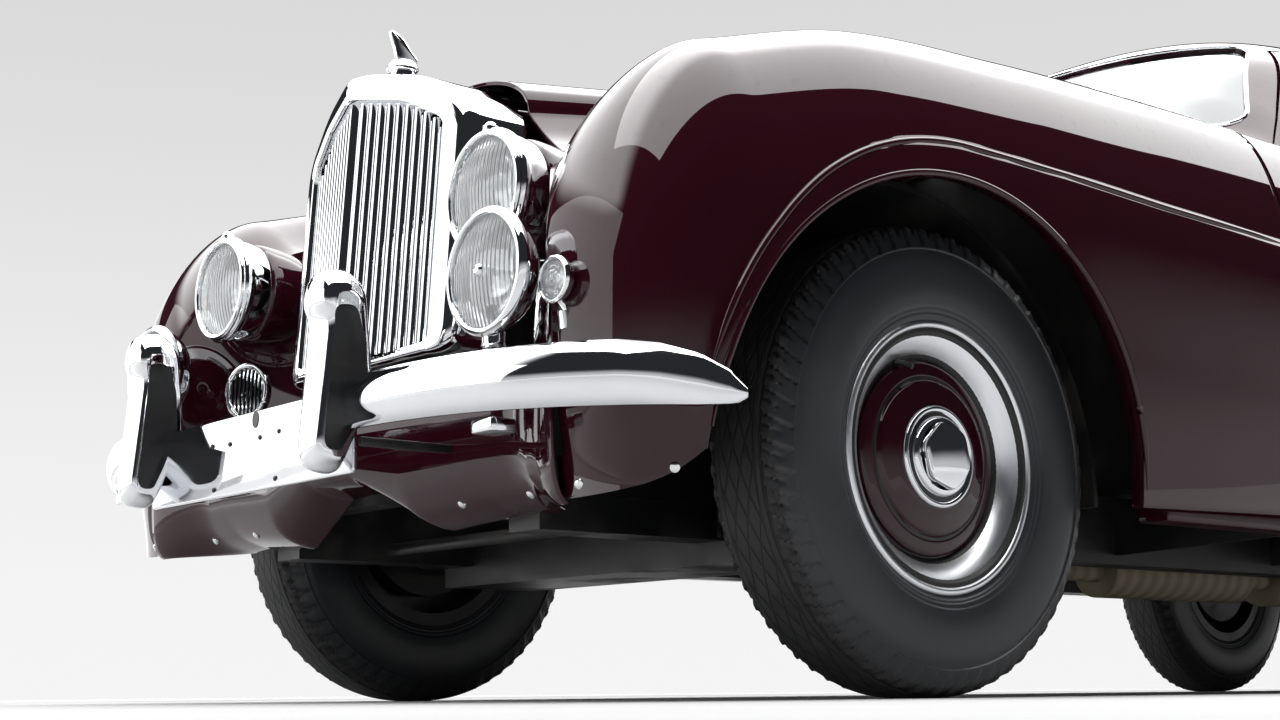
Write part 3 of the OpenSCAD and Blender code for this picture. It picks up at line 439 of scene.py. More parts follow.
def upper_point(u, v):
    back, top = bow(u), row(TOP, u)
    s = row(SIDE, u - back)
    reach = math.sin(math.pi / 2 * v) ** (2 / top[2])
    rise = max(0.0, math.cos(math.pi / 2 * v)) ** (2 / top[2])
    return Vector((u - back * reach ** 2, s[1] * reach * (1 - top[3] * rise), mix(s[2], middle_z(u), rise)))


@lru_cache(None)
def lead_on(v):
    """How the wing runs on forward at the nose's first station."""
    w = max(v, WING_EDGE)
    return (side_point(NOSE_X, w) - side_point(NOSE_X - 1, w)) * min(1.0, v / WING_EDGE)


def nose_point(u, v):
    turn = min(1.0, (u - NOSE_X) / NOSE_LEN) * math.pi / 2
    s, c = math.sin(turn), max(0.0, math.cos(turn))
    if v < WING_EDGE:
        edge = side_point(NOSE_X, WING_EDGE)
        t = (WING_EDGE - v) / WING_EDGE
        p = Vector((NOSE_X, mix(edge.y, FLANK_Y, t), mix(edge.z, FLANK_Z, t)))
    else:
        p = side_point(NOSE_X, v)
    on = lead_on(v) * (NOSE_LEN * s * c ** 2)
    k = mix(1 - s, max(0.0, 1 - s ** NOSE_FULL) ** (1 / NOSE_FULL), ease((v - WING_EDGE) / (2 - WING_EDGE)))
    z = mix(NOSE_Z, p.z, c) if p.z > NOSE_Z else p.z - NOSE_DROP * s * ease(v - 3)
    under = s * ease((v - TUCK_FROM) / (4 - TUCK_FROM)) ** 2
    x = NOSE_X + NOSE_LEN * s - TUCK_BACK * under * s
    return Vector((x, mix(NOSE_Y, p.y, k) + on.y - TUCK_IN * under * k, z + on.z))


def skin(u, v):
    """Body surface; negative v lies on the right side."""
    w = abs(v)
    if u >= NOSE_X:
        p = nose_point(u, w)
    elif w < 1:
        p = upper_point(u, w)
    else:
        p = side_point(u - bow(u), w)
    if v < 0:
        p.y = -p.y
    return p


# Mesh helpers

# The two axes that lie across each axis
ACROSS = ((1, 2), (0, 2), (0, 1))
# Height of the point from which an open sheet of the body faces out
MIDDLE_Z = 500


def runs(start, *parts):
    """Steps through several runs, each given by its count and its end."""
    out = [start]
    for n, end in parts:
        out += steps(out[-1], end, n)[1:]
    return out


def rounded(corners, r, n=6):
    """Outline with each corner drawn round."""
    out = []
    for i, c in enumerate(corners):
        p, a, b = Vector(c), Vector(corners[i - 1]), Vector(corners[(i + 1) % len(corners)])
        start = p + (a - p).normalized() * min(r, (a - p).length / 2.1)
        end = p + (b - p).normalized() * min(r, (b - p).length / 2.1)
        out += [mix(mix(start, p, t), mix(p, end, t), t) for t in steps(0, 1, n)]
    return out


def lattice(us, vs, point, keep=None):
    """A grid whose corners are put at point(u, v); cells whose middle keep() refuses are left out."""
    bm = bmesh.new()
    nu, nv = len(us) - 1, len(vs) - 1
    bmesh.ops.create_grid(bm, x_segments=nu, y_segments=nv, size=1)
    if keep:
        gone = []
        for f in bm.faces:
            c = f.calc_center_median()
            i, j = int((c.x + 1) / 2 * nu), int((c.y + 1) / 2 * nv)
            if not keep((us[i] + us[i + 1]) / 2, (vs[j] + vs[j + 1]) / 2):
                gone.append(f)
        bmesh.ops.delete(bm, geom=gone, context="FACES")
    for vert in bm.verts:
        vert.co = point(us[round((vert.co.x + 1) / 2 * nu)], vs[round((vert.co.y + 1) / 2 * nv)])
    bmesh.ops.remove_doubles(bm, verts=bm.verts[:], dist=0.05)
    return bm


def face_out(bm, inside=None):
    """Turns an open sheet's faces away from the car's middle, or from a point."""
    bm.normal_update()
    lean = 0.0
    for f in bm.faces:
        c = f.calc_center_median()
        middle = Vector(inside or (c.x, 0, MIDDLE_Z))
        lean += f.normal.dot(c - middle) * f.calc_area()
    if lean < 0:
        bmesh.ops.reverse_faces(bm, faces=bm.faces[:])
    bm.normal_update()


def within(p, outline):
    inside, j = False, len(outline) - 1
    for i in range(len(outline)):
        a, b = outline[i], outline[j]
        if (a[1] > p[1]) != (b[1] > p[1]) and p[0] < (b[0] - a[0]) * (p[1] - a[1]) / (b[1] - a[1]) + a[0]:
            inside = not inside
        j = i
    return inside


def trim(bm, outline, axis, keep=False, only=None):
    """Cuts a sheet along an outline drawn across an axis, and takes away its inside, or all but it.
    Faces whose middle only() refuses are left as they are."""
    i, j = ACROSS[axis]
    ours = [f for f in bm.faces if only is None or only(f.calc_center_median())]
    apart = set(bm.faces) - set(ours)
    for k in range(len(outline)):
        a, b = outline[k - 1], outline[k]
        low = [min(a[0], b[0]) - 1, min(a[1], b[1]) - 1]
        high = [max(a[0], b[0]) + 1, max(a[1], b[1]) + 1]
        near = []
        for f in bm.faces:
            if f in apart:
                continue
            p = [v.co[i] for v in f.verts]
            q = [v.co[j] for v in f.verts]
            if max(p) >= low[0] and min(p) <= high[0] and max(q) >= low[1] and min(q) <= high[1]:
                near.append(f)
        if not near:
            continue
        edges = {e for f in near for e in f.edges}
        verts = {v for f in near for v in f.verts}
        point, across = [0.0] * 3, [0.0] * 3
        point[i], point[j] = a[0], a[1]
        across[i], across[j] = b[1] - a[1], a[0] - b[0]
        if Vector(across).length < 1e-6:
            continue
        geom = near + list(edges) + list(verts)
        bmesh.ops.bisect_plane(bm, geom=geom, dist=0.02, plane_co=point, plane_no=across)
    gone = []
    for f in bm.faces:
        c = f.calc_center_median()
        if (only is None or only(c)) and within((c[i], c[j]), outline) != keep:
            gone.append(f)
    bmesh.ops.delete(bm, geom=gone, context="FACES")


def mirrored(bm):
    bmesh.ops.scale(bm, vec=(1, -1, 1), verts=bm.verts[:])
    bmesh.ops.reverse_faces(bm, faces=bm.faces[:])
    return bm


def on_side(bm, side):
    """A left-hand shape, mirrored where the side is the right one."""
    return bm if side > 0 else mirrored(bm)


def joined(bm, other):
    spare = bpy.data.meshes.new("spare")
    other.to_mesh(spare)
    other.free()
    bm.from_mesh(spare)
    bpy.data.meshes.remove(spare)
    bmesh.ops.remove_doubles(bm, verts=bm.verts[:], dist=0.2)
    return bm


def both_sides(bm):
    return joined(bm, mirrored(bm.copy()))


def dressed(bm, look):
    """Gives every face the look of that number in its piece's list."""
    for f in bm.faces:
        f.material_index = look
    return bm


def done(bm, name, looks, body, stands_for=(), wall=0.0, bevel=0.0, smooth=40):
    """Finishes a piece: into the shared frame, smooth shading, wall and rounded edges, body and looks."""
    bmesh.ops.transform(bm, matrix=TO_FRAME, verts=bm.verts[:])
    # A piece that stands for the node of its name has a name of its own.
    name += "_panel" if name in NODES else ""
    mesh = bpy.data.meshes.new(name)
    bm.to_mesh(mesh)
    bm.free()
    for look in looks if isinstance(looks, (list, tuple)) else [looks]:
        mesh.materials.append(look)
    mesh.shade_smooth()
    mesh.set_sharp_from_angle(angle=math.radians(smooth))
    piece = bpy.data.objects.new(name, mesh)
    bpy.context.scene.collection.objects.link(piece)
    if wall:
        solid = piece.modifiers.new("wall", "SOLIDIFY")
        solid.thickness, solid.offset = wall * MILLIMETRE, -1
    if bevel:
        edge = piece.modifiers.new("edge", "BEVEL")
        edge.width, edge.segments, edge.limit_method = bevel * MILLIMETRE, 2, "ANGLE"
        edge.angle_limit, edge.harden_normals = math.radians(50), True
    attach(piece, body)
    if stands_for:
        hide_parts(*stands_for)
    return piece


# Outlines, as in the part

DOOR_OPENING = [(-900, 300), (-900, 1088), (-1222, 1088), (-1572, 1482), (-1850, 1503), (-2120, 1484),
                (-2130, 1060), (-2130, 300)]
DOOR_OUTLINE = [(-906, 336), (-906, 1082), (-1220, 1082), (-1576, 1476), (-1850, 1497), (-2090, 1479),
                (-2096, 1072), (-2124, 1066), (-2124, 336)]
DOOR_WINDOW = rounded([(-1296, 1112), (-1596, 1450), (-1850, 1468), (-2068, 1453), (-2068, 1112)], 36)
QUARTER_WINDOW = rounded([(-2196, 1112), (-2196, 1446), (-2430, 1404), (-2790, 1180), (-2720, 1112)], 50)
WINDSCREEN = rounded([(-592, 1216), (592, 1216), (452, 1500), (-452, 1500)], 60)
REAR_WINDOW = rounded([(-2840, 400), (-3230, 350), (-3230, -350), (-2840, -400)], 90)
BOOT_OPENING = rounded([(-3440, 400), (-4180, 232), (-4180, -232), (-3440, -400)], 70)
BOOT_OUTLINE = rounded([(-3446, 393), (-4174, 228), (-4174, -228), (-3446, -393)], 66)
ARCH_X, ARCH_Z, ARCH_R = 55, 320, 470
ARCH_CORNER = [(500, 200), (500, 340), (526, 340), (533, 334), (546, 322), (559, 311), (575, 301), (592, 292),
               (612, 285), (636, 277), (660, 270), (660, 200)]
# Where the wings and bonnet end, the windscreen and roof start, the doors end, and the tail ends
SCUTTLE_X, SCREEN_X, DOOR_BACK_X, TAIL_X = -897, -1050, -2130, -4350


def oval(x, z, half_x, half_z, n, start=0.0):
    turns = steps(start, start + 2 * math.pi, n)[:-1]
    return [(x + half_x * math.cos(a), z + half_z * math.sin(a)) for a in turns]


def circle(x, z, r, n=96, start=0.0):
    return oval(x, z, r, r, n, start)


# Body panels

# Swage round the front arch: angle about the arch's middle, radius; then along the flank: x, height
SWAGE_ARC = ((-30, 484), (10, 490), (44, 502), (58, 513), (69, 519), (82, 524), (100, 531))
SWAGE_LINE = ((0, 847), (-213, 842), (-491, 833), (-873, 826), (-1500, 806), (-2130, 784))
# How high it stands, how wide its step is, and how far sideways the skin faces where it is full
SWAGE_HEIGHT, SWAGE_STEP, SWAGE_FULL = 9.0, 15, 0.35
# Where it rises: angle and turn round the arch, then place and run along the flank
RISE_ANGLE, RISE_TURN, RISE_X, RISE_RUN = -2, 34, -2300, 1300
# Where the pressing below it runs out: depth, run downward, run backward
FADE_FROM, FADE_DOWN, FADE_BACK = 25, 260, 350


def along(table, x):
    k = next((k for k in range(1, len(table) - 1) if (x - table[k][0]) * (table[-1][0] - table[0][0]) < 0),
             len(table) - 1)
    a, b = table[k - 1], table[k]
    return mix(a[1], b[1], min(1.0, max(0.0, (x - a[0]) / (b[0] - a[0]))))


def swage(bm):
    """Presses the raised band round the arch and the step along the flank into a side panel."""
    bm.normal_update()
    moved = []
    for v in bm.verts:
        x, z = v.co.x, v.co.z
        if x > 0:
            a = math.degrees(math.atan2(z - ARCH_Z, x - ARCH_X))
            inner = along(SWAGE_ARC, a) - math.hypot(x - ARCH_X, z - ARCH_Z)
            height = SWAGE_HEIGHT * ease((a - RISE_ANGLE) / RISE_TURN)
        else:
            inner = along(SWAGE_LINE, x) - z
            height = SWAGE_HEIGHT * ease((x - RISE_X) / RISE_RUN)
        step = ease(inner / SWAGE_STEP + 0.5)
        fade = 1 - ease((inner - FADE_FROM) / FADE_DOWN) * ease(-x / FADE_BACK)
        outward = 1 if v.normal.y * v.co.y > 0 else 0
        lift = height * step * fade * ease(abs(v.normal.y) / SWAGE_FULL) * outward
        moved.append((v, v.normal * lift))
    for v, by in moved:
        v.co += by


def lip(bm, on_edge, depth):
    """Folds the border picked by on_edge in towards the middle of the car."""
    rim = [e for e in bm.edges if e.is_boundary and all(on_edge(v.co) for v in e.verts)]
    made = bmesh.ops.extrude_edge_only(bm, edges=rim)["geom"]
    bmesh.ops.translate(bm, vec=(0, -depth, 0), verts=[g for g in made if isinstance(g, bmesh.types.BMVert)])


# Edges of the cut windows, kept by the panels for their bright rims
RIMS = {}
RIM_STEP, RIM_NEAR = 9, 1.0


def rim_line(bm, outline, axis, only=None):
    """Points of a cut window's edge in order round it, a little apart."""
    i, j = ACROSS[axis]
    corners = [Vector(p) for p in outline]
    mid = sum(corners, Vector((0, 0))) / len(corners)

    def off(p):
        """Distance from the outline."""
        gaps = []
        for a, b in zip(corners, corners[1:] + corners[:1]):
            share = (p - a).dot(b - a) / max(1e-6, (b - a).length_squared)
            gaps.append((p - a - (b - a) * min(1.0, max(0.0, share))).length)
        return min(gaps)

    found = {v for e in bm.edges if e.is_boundary for v in e.verts if only is None or only(v.co)}
    found = [v.co.copy() for v in found if off(Vector((v.co[i], v.co[j]))) < RIM_NEAR]
    found.sort(key=lambda c: math.atan2(c[j] - mid.y, c[i] - mid.x))
    line = found[:1]
    for c in found[1:]:
        if (c - line[-1]).length > RIM_STEP:
            line.append(c)
    return line


def at_arch(p):
    return p.y > 640 and abs(math.hypot(p.x - ARCH_X, p.z - ARCH_Z) - ARCH_R) < 1.2


def front_wing(name, side):
    low = runs(2, (44, 3), (40, 4))[1:]
    top = steps(WING_EDGE, 2, 22)
    bm = lattice(steps(NOSE_X, SCUTTLE_X, 126), top + low, skin)
    inner_flank = steps(0, WING_EDGE, 30)[:-1]
    joined(bm, lattice(steps(NOSE_X + NOSE_LEN, NOSE_X, 36), inner_flank + top + low, skin))
    face_out(bm, (250, 600, 600))
    swage(bm)
    trim(bm, circle(ARCH_X, ARCH_Z, ARCH_R), 1, only=lambda c: c.y > 660)
    trim(bm, ARCH_CORNER, 1, only=lambda c: c.y > 632)
    lip(bm, at_arch, 24)
    lip(bm, lambda p: p.z < 343 and p.x > 505, 16)
    done(on_side(bm, side), name, PAINT, "car_body", [name], wall=3)


def bonnet_lead(u, v):
    return (skin(u, v).z - middle_z(u)) * BONNET_RISE


def bonnet(name, side):
    vs = runs(0.012, (40, 1), (12, BONNET_EDGE))
    bm = lattice(steps(418, -870, 90), vs, lambda u, v: skin(u + bonnet_lead(u, v), v))
    face_out(bm)
    done(on_side(bm, side), name, PAINT, name, [name], wall=8, bevel=2)


def scuttle():
    half = runs(1, (8, WING_EDGE), (8, 1.6))[1:]
    vs = [-v for v in reversed(half)] + steps(-1, 1, 80) + half

    def point(u, v):
        return skin(u + (bonnet_lead(u, v) if u > SCUTTLE_X else 0), v)

    bm = lattice([-876] + steps(SCUTTLE_X, SCREEN_X, 16), vs, point,
                 lambda u, v: u < SCUTTLE_X or abs(v) < WING_EDGE)
    face_out(bm)
    done(bm, "scuttle", PAINT, "car_body", ["scuttle"], wall=26, bevel=2)


def door(name, side):
    frame_x, waist = -1062, 1.67
    us = runs(-880, (16, frame_x), (104, -2150))
    vs = runs(0.25, (46, 1), (14, waist), (8, 2), (40, 3), (30, 4))
    bm = lattice(us, vs, skin, lambda u, v: u < frame_x or v > waist)
    face_out(bm)
    swage(bm)
    trim(bm, DOOR_OUTLINE, 1, keep=True)
    trim(bm, DOOR_WINDOW, 1)
    RIMS["door"] = [rim_line(bm, DOOR_WINDOW, 1)]
    piece = done(on_side(bm, side), name, [PAINT, LEATHER], name, [name],
                 wall=46, bevel=2.5)
    piece.modifiers["wall"].material_offset = 1


def sheet_under(us, vs, depth, outline, axis):
    """A pane a depth below the skin, kept inside an outline."""
    bm = lattice(us, vs, skin)
    face_out(bm)
    for v in bm.verts:
        v.co -= v.normal * depth
    trim(bm, outline, axis, keep=True)
    return bm


def door_glass(name, side):
    bm = sheet_under(steps(-1000, DOOR_BACK_X, 40), steps(0.25, 1.1, 30), 18, DOOR_WINDOW, 1)
    body = "door_left" if side > 0 else "door_right"
    done(on_side(bm, side), name, GLASS, body, [name], wall=5)


def fixed_glass():
    bm = sheet_under(steps(SCREEN_X, -1500, 40), steps(-0.95, 0.95, 60), 10, WINDSCREEN, 0)
    joined(bm, sheet_under(steps(-2780, -3300, 30), steps(-0.9, 0.9, 40), 10, REAR_WINDOW, 2))
    quarter = sheet_under(steps(DOOR_BACK_X, -2850, 40), steps(0.3, 1.1, 30), 10, QUARTER_WINDOW, 1)
    joined(bm, both_sides(quarter))
    done(bm, "window_glass", GLASS, "car_body", ["window_glass"], wall=5)


def roof():
    bm = lattice(steps(SCREEN_X, TAIL_X, 190), steps(-1, 1, 120), skin)
    face_out(bm)
    for y in (1, -1):
        trim(bm, DOOR_OPENING, 1, only=lambda c: c.y * y > 200)
        trim(bm, QUARTER_WINDOW, 1, only=lambda c: c.y * y > 200)
    trim(bm, WINDSCREEN, 0, only=lambda c: c.x > -1700)
    trim(bm, REAR_WINDOW, 2)
    trim(bm, BOOT_OPENING, 2)
    RIMS["screens"] = [rim_line(bm, WINDSCREEN, 0, lambda c: c.x > -1700), rim_line(bm, REAR_WINDOW, 2)]
    RIMS["quarter"] = [rim_line(bm, QUARTER_WINDOW, 1, lambda c: c.y > 200)]
    piece = done(bm, "roof_shell", [PAINT, LEATHER], "car_body", ["roof_shell"],
                 wall=24, bevel=2.5)
    piece.modifiers["wall"].material_offset = 1


def boot_lid():
    bm = lattice(steps(-3400, -4220, 60), steps(-1, 1, 80), skin)
    face_out(bm)
    trim(bm, BOOT_OUTLINE, 2, keep=True)
    done(bm, "boot_lid", PAINT, "boot_lid", ["boot_lid"], wall=9, bevel=2.5)


SPAT_X, SPAT_Z, SPAT_R = -3048, 330, 405


def rear_wing(name, side):
    bm = lattice(steps(DOOR_BACK_X, TAIL_X, 150), runs(1, (24, 2), (34, 3), (24, 4)), skin)
    face_out(bm)
    trim(bm, circle(SPAT_X, SPAT_Z, SPAT_R), 1, only=lambda c: c.y > 500)
    done(on_side(bm, side), name, PAINT, "car_body", [name], wall=8, bevel=2)


def spats():
    bm = lattice(steps(SPAT_X + 420, SPAT_X - 420, 60), runs(2.25, (26, 3), (24, 4)), skin)
    face_out(bm)
    trim(bm, circle(SPAT_X, SPAT_Z, SPAT_R - 3), 1, keep=True)
    done(both_sides(bm), "wheel_spats", PAINT, "car_body", ["wheel_spats"], wall=8, bevel=2)


def pair(build, name):
    """Builds a panel for the left side and for the right."""
    for hand, side in SIDES:
        build(f"{name}_{hand}", side)


pair(front_wing, "front_wing")
pair(bonnet, "bonnet")
scuttle()
pair(door, "door")
pair(door_glass, "door_glass")
fixed_glass()
roof()
boot_lid()
pair(rear_wing, "rear_wing")
spats()


# Turned and lofted pieces

def curve(points, n):
    """A smooth line of n steps through points of any size."""
    pts = [Vector(p) for p in points]
    out = []
    for k in range(n + 1):
        t = k / n * (len(pts) - 1)
        i = min(int(t), len(pts) - 2)
        t -= i
        p, q = pts[i], pts[i + 1]
        before, after = pts[max(i - 1, 0)], pts[min(i + 2, len(pts) - 1)]
        out.append(0.5 * (2 * p + (q - before) * t + (2 * before - 5 * p + 4 * q - after) * t * t
                          + (3 * p - before - 3 * q + after) * t ** 3))
    return out


def turned(profile, place, n, out=(1, 0, 0), look=0):
    """A profile of radius and distance along the axis, spun about an axis through place."""
    bm = bmesh.new()
    verts = [bm.verts.new((a, r, 0)) for r, a in profile]
    edges = [bm.edges.new((verts[i], verts[i + 1])) for i in range(len(verts) - 1)]
    bmesh.ops.spin(bm, geom=verts + edges, cent=(0, 0, 0), axis=(1, 0, 0), angle=2 * math.pi, steps=n,
                   use_merge=True)
    bmesh.ops.remove_doubles(bm, verts=bm.verts[:], dist=0.01)
    bmesh.ops.recalc_face_normals(bm, faces=bm.faces[:])
    turn = Vector((1, 0, 0)).rotation_difference(Vector(out)).to_matrix().to_4x4()
    bmesh.ops.transform(bm, matrix=Matrix.Translation(place) @ turn, verts=bm.verts[:])
    return dressed(bm, look)


def loft(sections, look=0):
    """A closed skin through rings of equal count, capped at both ends."""
    us, vs = list(range(len(sections))), list(range(len(sections[0]) + 1))
    bm = lattice(us, vs, lambda u, v: Vector(sections[u][v % len(sections[0])]))
    ends = [e for e in bm.edges if e.is_boundary]
    if len(ends) == len(sections[0]):
        bmesh.ops.contextual_create(bm, geom=ends)
    elif ends:
        bmesh.ops.holes_fill(bm, edges=ends, sides=0)
    bmesh.ops.recalc_face_normals(bm, faces=bm.faces[:])
    return dressed(bm, look)


def tube(points, radius, n=12, look=0):
    """A round bar along points; radius is one number or one for each point."""
    pts = [Vector(p) for p in points]
    rings = []
    for i, p in enumerate(pts):
        ahead = (pts[min(i + 1, len(pts) - 1)] - pts[max(i - 1, 0)]).normalized()
        across = ahead.orthogonal() if abs(ahead.z) > 0.95 else ahead.cross(Vector((0, 0, 1)))
        side = across.normalized()
        up = side.cross(ahead)
        r = radius if isinstance(radius, (int, float)) else radius[i]
        rings.append([p + (side * math.cos(a) + up * math.sin(a)) * r for a in steps(0, 2 * math.pi, n)[:-1]])
    return loft(rings, look)


def slab(outline, low, high, axis, soft=2.0, look=0):
    """An outline drawn out along an axis from low to high, its edges rounded."""
    i, j = ACROSS[axis]
    bm = bmesh.new()
    verts = []
    for p in outline:
        co = [0.0] * 3
        co[i], co[j], co[axis] = p[0], p[1], low
        verts.append(bm.verts.new(co))
    face = bm.faces.new(verts)
    grown = bmesh.ops.extrude_face_region(bm, geom=[face])["geom"]
    by = [0.0] * 3
    by[axis] = high - low
    bmesh.ops.translate(bm, vec=by, verts=[g for g in grown if isinstance(g, bmesh.types.BMVert)])
    bmesh.ops.recalc_face_normals(bm, faces=bm.faces[:])
    if soft:
        bm.normal_update()
        edges = [e for e in bm.edges if e.calc_face_angle(0) > 0.6]
        bmesh.ops.bevel(bm, geom=edges, offset=soft, segments=2, profile=0.5, affect="EDGES", material=-1)
    return dressed(bm, look)


# Tyres and wheels

TYRE_R, BLOCKS = 372, 62
# Outboard half of the tyre's section from bead to tread: radius, place along the axle
TYRE_SIDE = ((205, 64), (211, 71), (216, 75), (222, 77), (224.5, 79.2), (228, 79.5), (231, 81.8), (236, 82.2),
             (239, 84.2), (248, 86), (262, 87.8), (284, 88), (306, 86.5), (320, 84), (328, 81), (330.5, 83),
             (334, 82), (345, 77.5), (356, 71), (364, 65.5), (369.5, 59))
# Half width of the tread, its radius at the middle, and how far it falls to its edge
TREAD_HALF, TREAD_R, TREAD_FALL = 59, 373, 3.5
# Edge blocks: radius where they start and run of the start, and how far each laps over the next
SHOULDER_R, SHOULDER_RUN, LAP_DEPTH = 332, 7, 5.0
# Cuts between them: depth, share of a block's length, how that narrows outward, and slant
CUT_DEPTH, CUT_WIDE, CUT_TAPER, CUT_SLANT = 8.5, 0.27, 0.009, 0.022
# Places along the axle between which the cuts lie
CUT_INNER, CUT_OUTER = 50, 78
FRONT_TRACK, REAR_TRACK, WHEELBASE = 1435, 1486, 3048


def shoulder_depth(turn, r, a):
    """How deep the cut and lapped edge blocks lie below the smooth shoulder."""
    t = (turn * BLOCKS / (2 * math.pi) + (abs(a) - 60) * CUT_SLANT) % 1
    lap = LAP_DEPTH * t * ease((r - SHOULDER_R) / SHOULDER_RUN)
    wide = CUT_WIDE - CUT_TAPER * max(0.0, abs(a) - 54)
    inside = ease((abs(a) - CUT_INNER) / 5) * ease((CUT_OUTER - abs(a)) / 8)
    cut = max(0.0, 1 - abs(t - 0.5) / max(0.02, wide)) * inside
    return max(lap, CUT_DEPTH * cut)


def tyre_mesh():
    half = curve(TYRE_SIDE, 44)
    half += [Vector((TREAD_R - TREAD_FALL * (a / TREAD_HALF) ** 3, a)) for a in steps(TREAD_HALF, 0, 9)[1:]]
    section = half + [Vector((p[0], -p[1])) for p in reversed(half[:-1])]

    def point(turn, k):
        r, a = section[k]
        r -= shoulder_depth(turn, r, a) if r > 333 and abs(a) > 48 else 0
        return Vector((r * math.cos(turn), a, r * math.sin(turn)))

    bm = lattice(steps(0, 2 * math.pi, BLOCKS * 8), list(range(len(section))), point)
    bmesh.ops.recalc_face_normals(bm, faces=bm.faces[:])
    uv = bm.loops.layers.uv.new("tread")
    for f in bm.faces:
        c = f.calc_center_median()
        r, mid = math.hypot(c.x, c.z), math.atan2(c.z, c.x)
        # Faces deep in the shoulder cuts take the black plastic look: painted shade in the cuts.
        if 328 < r < 366 and shoulder_depth(mid, 345, c.y) > 4.2:
            f.material_index = 2
        elif r > 358:
            f.material_index = 1
        for loop in f.loops:
            turn = math.atan2(loop.vert.co.z, loop.vert.co.x)
            turn += 2 * math.pi * round((mid - turn) / (2 * math.pi))
            run = (turn + math.pi) * BLOCKS / (2 * math.pi)
            loop[uv].uv = (run, loop.vert.co.y / TREAD_SPAN + TREAD_SHIFT)
    return bm


# Wheel ring, painted cover and bright cap: radius, place along the axle
RING = ((213, 62), (217, 66), (218, 72), (215, 77), (210, 78.5), (206, 77), (203.5, 73.5), (201, 73),
        (197, 72), (192, 69.5), (186, 66), (179, 61), (172, 54), (166, 46), (162, 41), (158, 37.5), (153, 35))
COVER = ((155, 33), (155, 41), (153.5, 45), (150, 47.5), (144, 49), (137, 50.5), (132, 51), (128.5, 50),
         (126, 51.5), (123, 56), (119, 58.5), (110, 60.5), (98, 63), (88, 65), (78, 66))
CAP = ((81, 61), (81.5, 67), (80, 70.5), (77, 72), (73, 71.5), (70, 68.5), (67.5, 67.5), (65, 69), (63.5, 74),
       (60, 78), (54, 79))
NUT_R, NUT_TURN = 57, 0.3
STEM_R, STEM_TURN = 163, 1.15


def wheel_dress(name, x, y, body):
    side = 1 if y > 0 else -1
    at, out = (x, y, TYRE_R), (0, side, 0)
    bm = turned(curve(RING, 40), at, 96, out, 0)
    joined(bm, turned(curve(COVER, 36), at, 96, out, 1))
    joined(bm, turned(curve(CAP, 32), at, 72, out, 2))
    hexagon = circle(x, TYRE_R, NUT_R, 6, NUT_TURN)
    joined(bm, slab(rounded(hexagon, 14, 4), y + side * 66, y + side * 90, 1, 5, 2))
    stem_x, stem_z = x + STEM_R * math.cos(STEM_TURN), TYRE_R + STEM_R * math.sin(STEM_TURN)
    joined(bm, tube([(stem_x, y + side * 38, stem_z), (stem_x - 4, y + side * 60, stem_z - 6),
                     (stem_x - 8, y + side * 72, stem_z - 12)], [5.5, 5, 4], 10, 3))
    done(bm, name, [POLISHED, PAINT, CHROME, PLASTIC], body)


tread = tyre_mesh()
for end, x, track in (("front", 0, FRONT_TRACK), ("rear", -WHEELBASE, REAR_TRACK)):
    for hand, side in SIDES:
        bm = on_side(tread.copy(), side)
        bmesh.ops.translate(bm, vec=(x, side * track / 2, TYRE_R), verts=bm.verts[:])
        body = f"{end}_{hand}_wheel"
        name = f"tyre_{end}_{hand}"
        done(bm, name, [RUBBER, TREAD, PLASTIC], body, [name], smooth=32)
        wheel_dress(f"wheel_trim_{end}_{hand}", x, side * track / 2, body)
tread.free()


# Swage beads

def flank(x, z):
    """Point of the left wing's or door's skin at a place and height, below the wing's crown."""
    def at(v):
        if x <= NOSE_X:
            return side_point(x, v)
        return nose_point(NOSE_X + NOSE_LEN * math.asin((x - NOSE_X) / NOSE_LEN) * 2 / math.pi, v)

    low, high = 2.0, 4.0
    for _ in range(30):
        v = (low + high) / 2
        low, high = (v, high) if at(v).z > z else (low, v)
    return at(low)


def bead(name, places, body, side):
    """A thin raised line on the flank, its ends drawn out flat."""
    pts = [flank(x, z) + Vector((0, 4.5, 0)) for x, z in places]
    n = len(pts) - 1
    bm = tube(pts, [1.5 + 4.7 * ease(min(i, n - i) / 8) for i in range(n + 1)], 12)
    done(on_side(bm, side), name, PAINT, body, ())


def arch_place(angle, r):
    """Place on the flank at an angle in degrees and a distance from the arch's middle."""
    a = math.radians(angle)
    return ARCH_X + r * math.cos(a), ARCH_Z + r * math.sin(a)


def swage_run(start, end, n):
    return [(x, along(SWAGE_LINE, x)) for x in steps(start, end, n)]


round_arch = [arch_place(a, along(SWAGE_ARC, a)) for a in steps(14, 95, 54)]
arch_edge = [arch_place(a, ARCH_R + 3) for a in steps(6, 178, 110)]
for hand, side in SIDES:
    bead(f"wing_bead_{hand}", round_arch + swage_run(-16, -884, 60), "car_body", side)
    bead(f"arch_bead_{hand}", arch_edge, "car_body", side)
    bead(f"door_bead_{hand}", swage_run(-934, -2112, 70), f"door_{hand}", side)


# Apron

# Apron's outer face from the top down: back from its front line, height
APRON = ((0, 474), (0, 430), (0, 384), (-5, 348), (-18, 318), (-44, 294), (-80, 280), (-104, 276))
# Its lower edge: y, height
APRON_LOW = ((0, 348), (70, 346), (215, 270), (400, 284), (640, 274))
# Its front line: place at the middle, sweep back, place at the noses; and the height where it turns under
APRON_X, APRON_SWEEP, APRON_NOSE_X, APRON_BEND = 648, 0.0675, 649.5, 384
BOLT = ((0, 4), (4, 3.6), (7, 2), (8, -3))


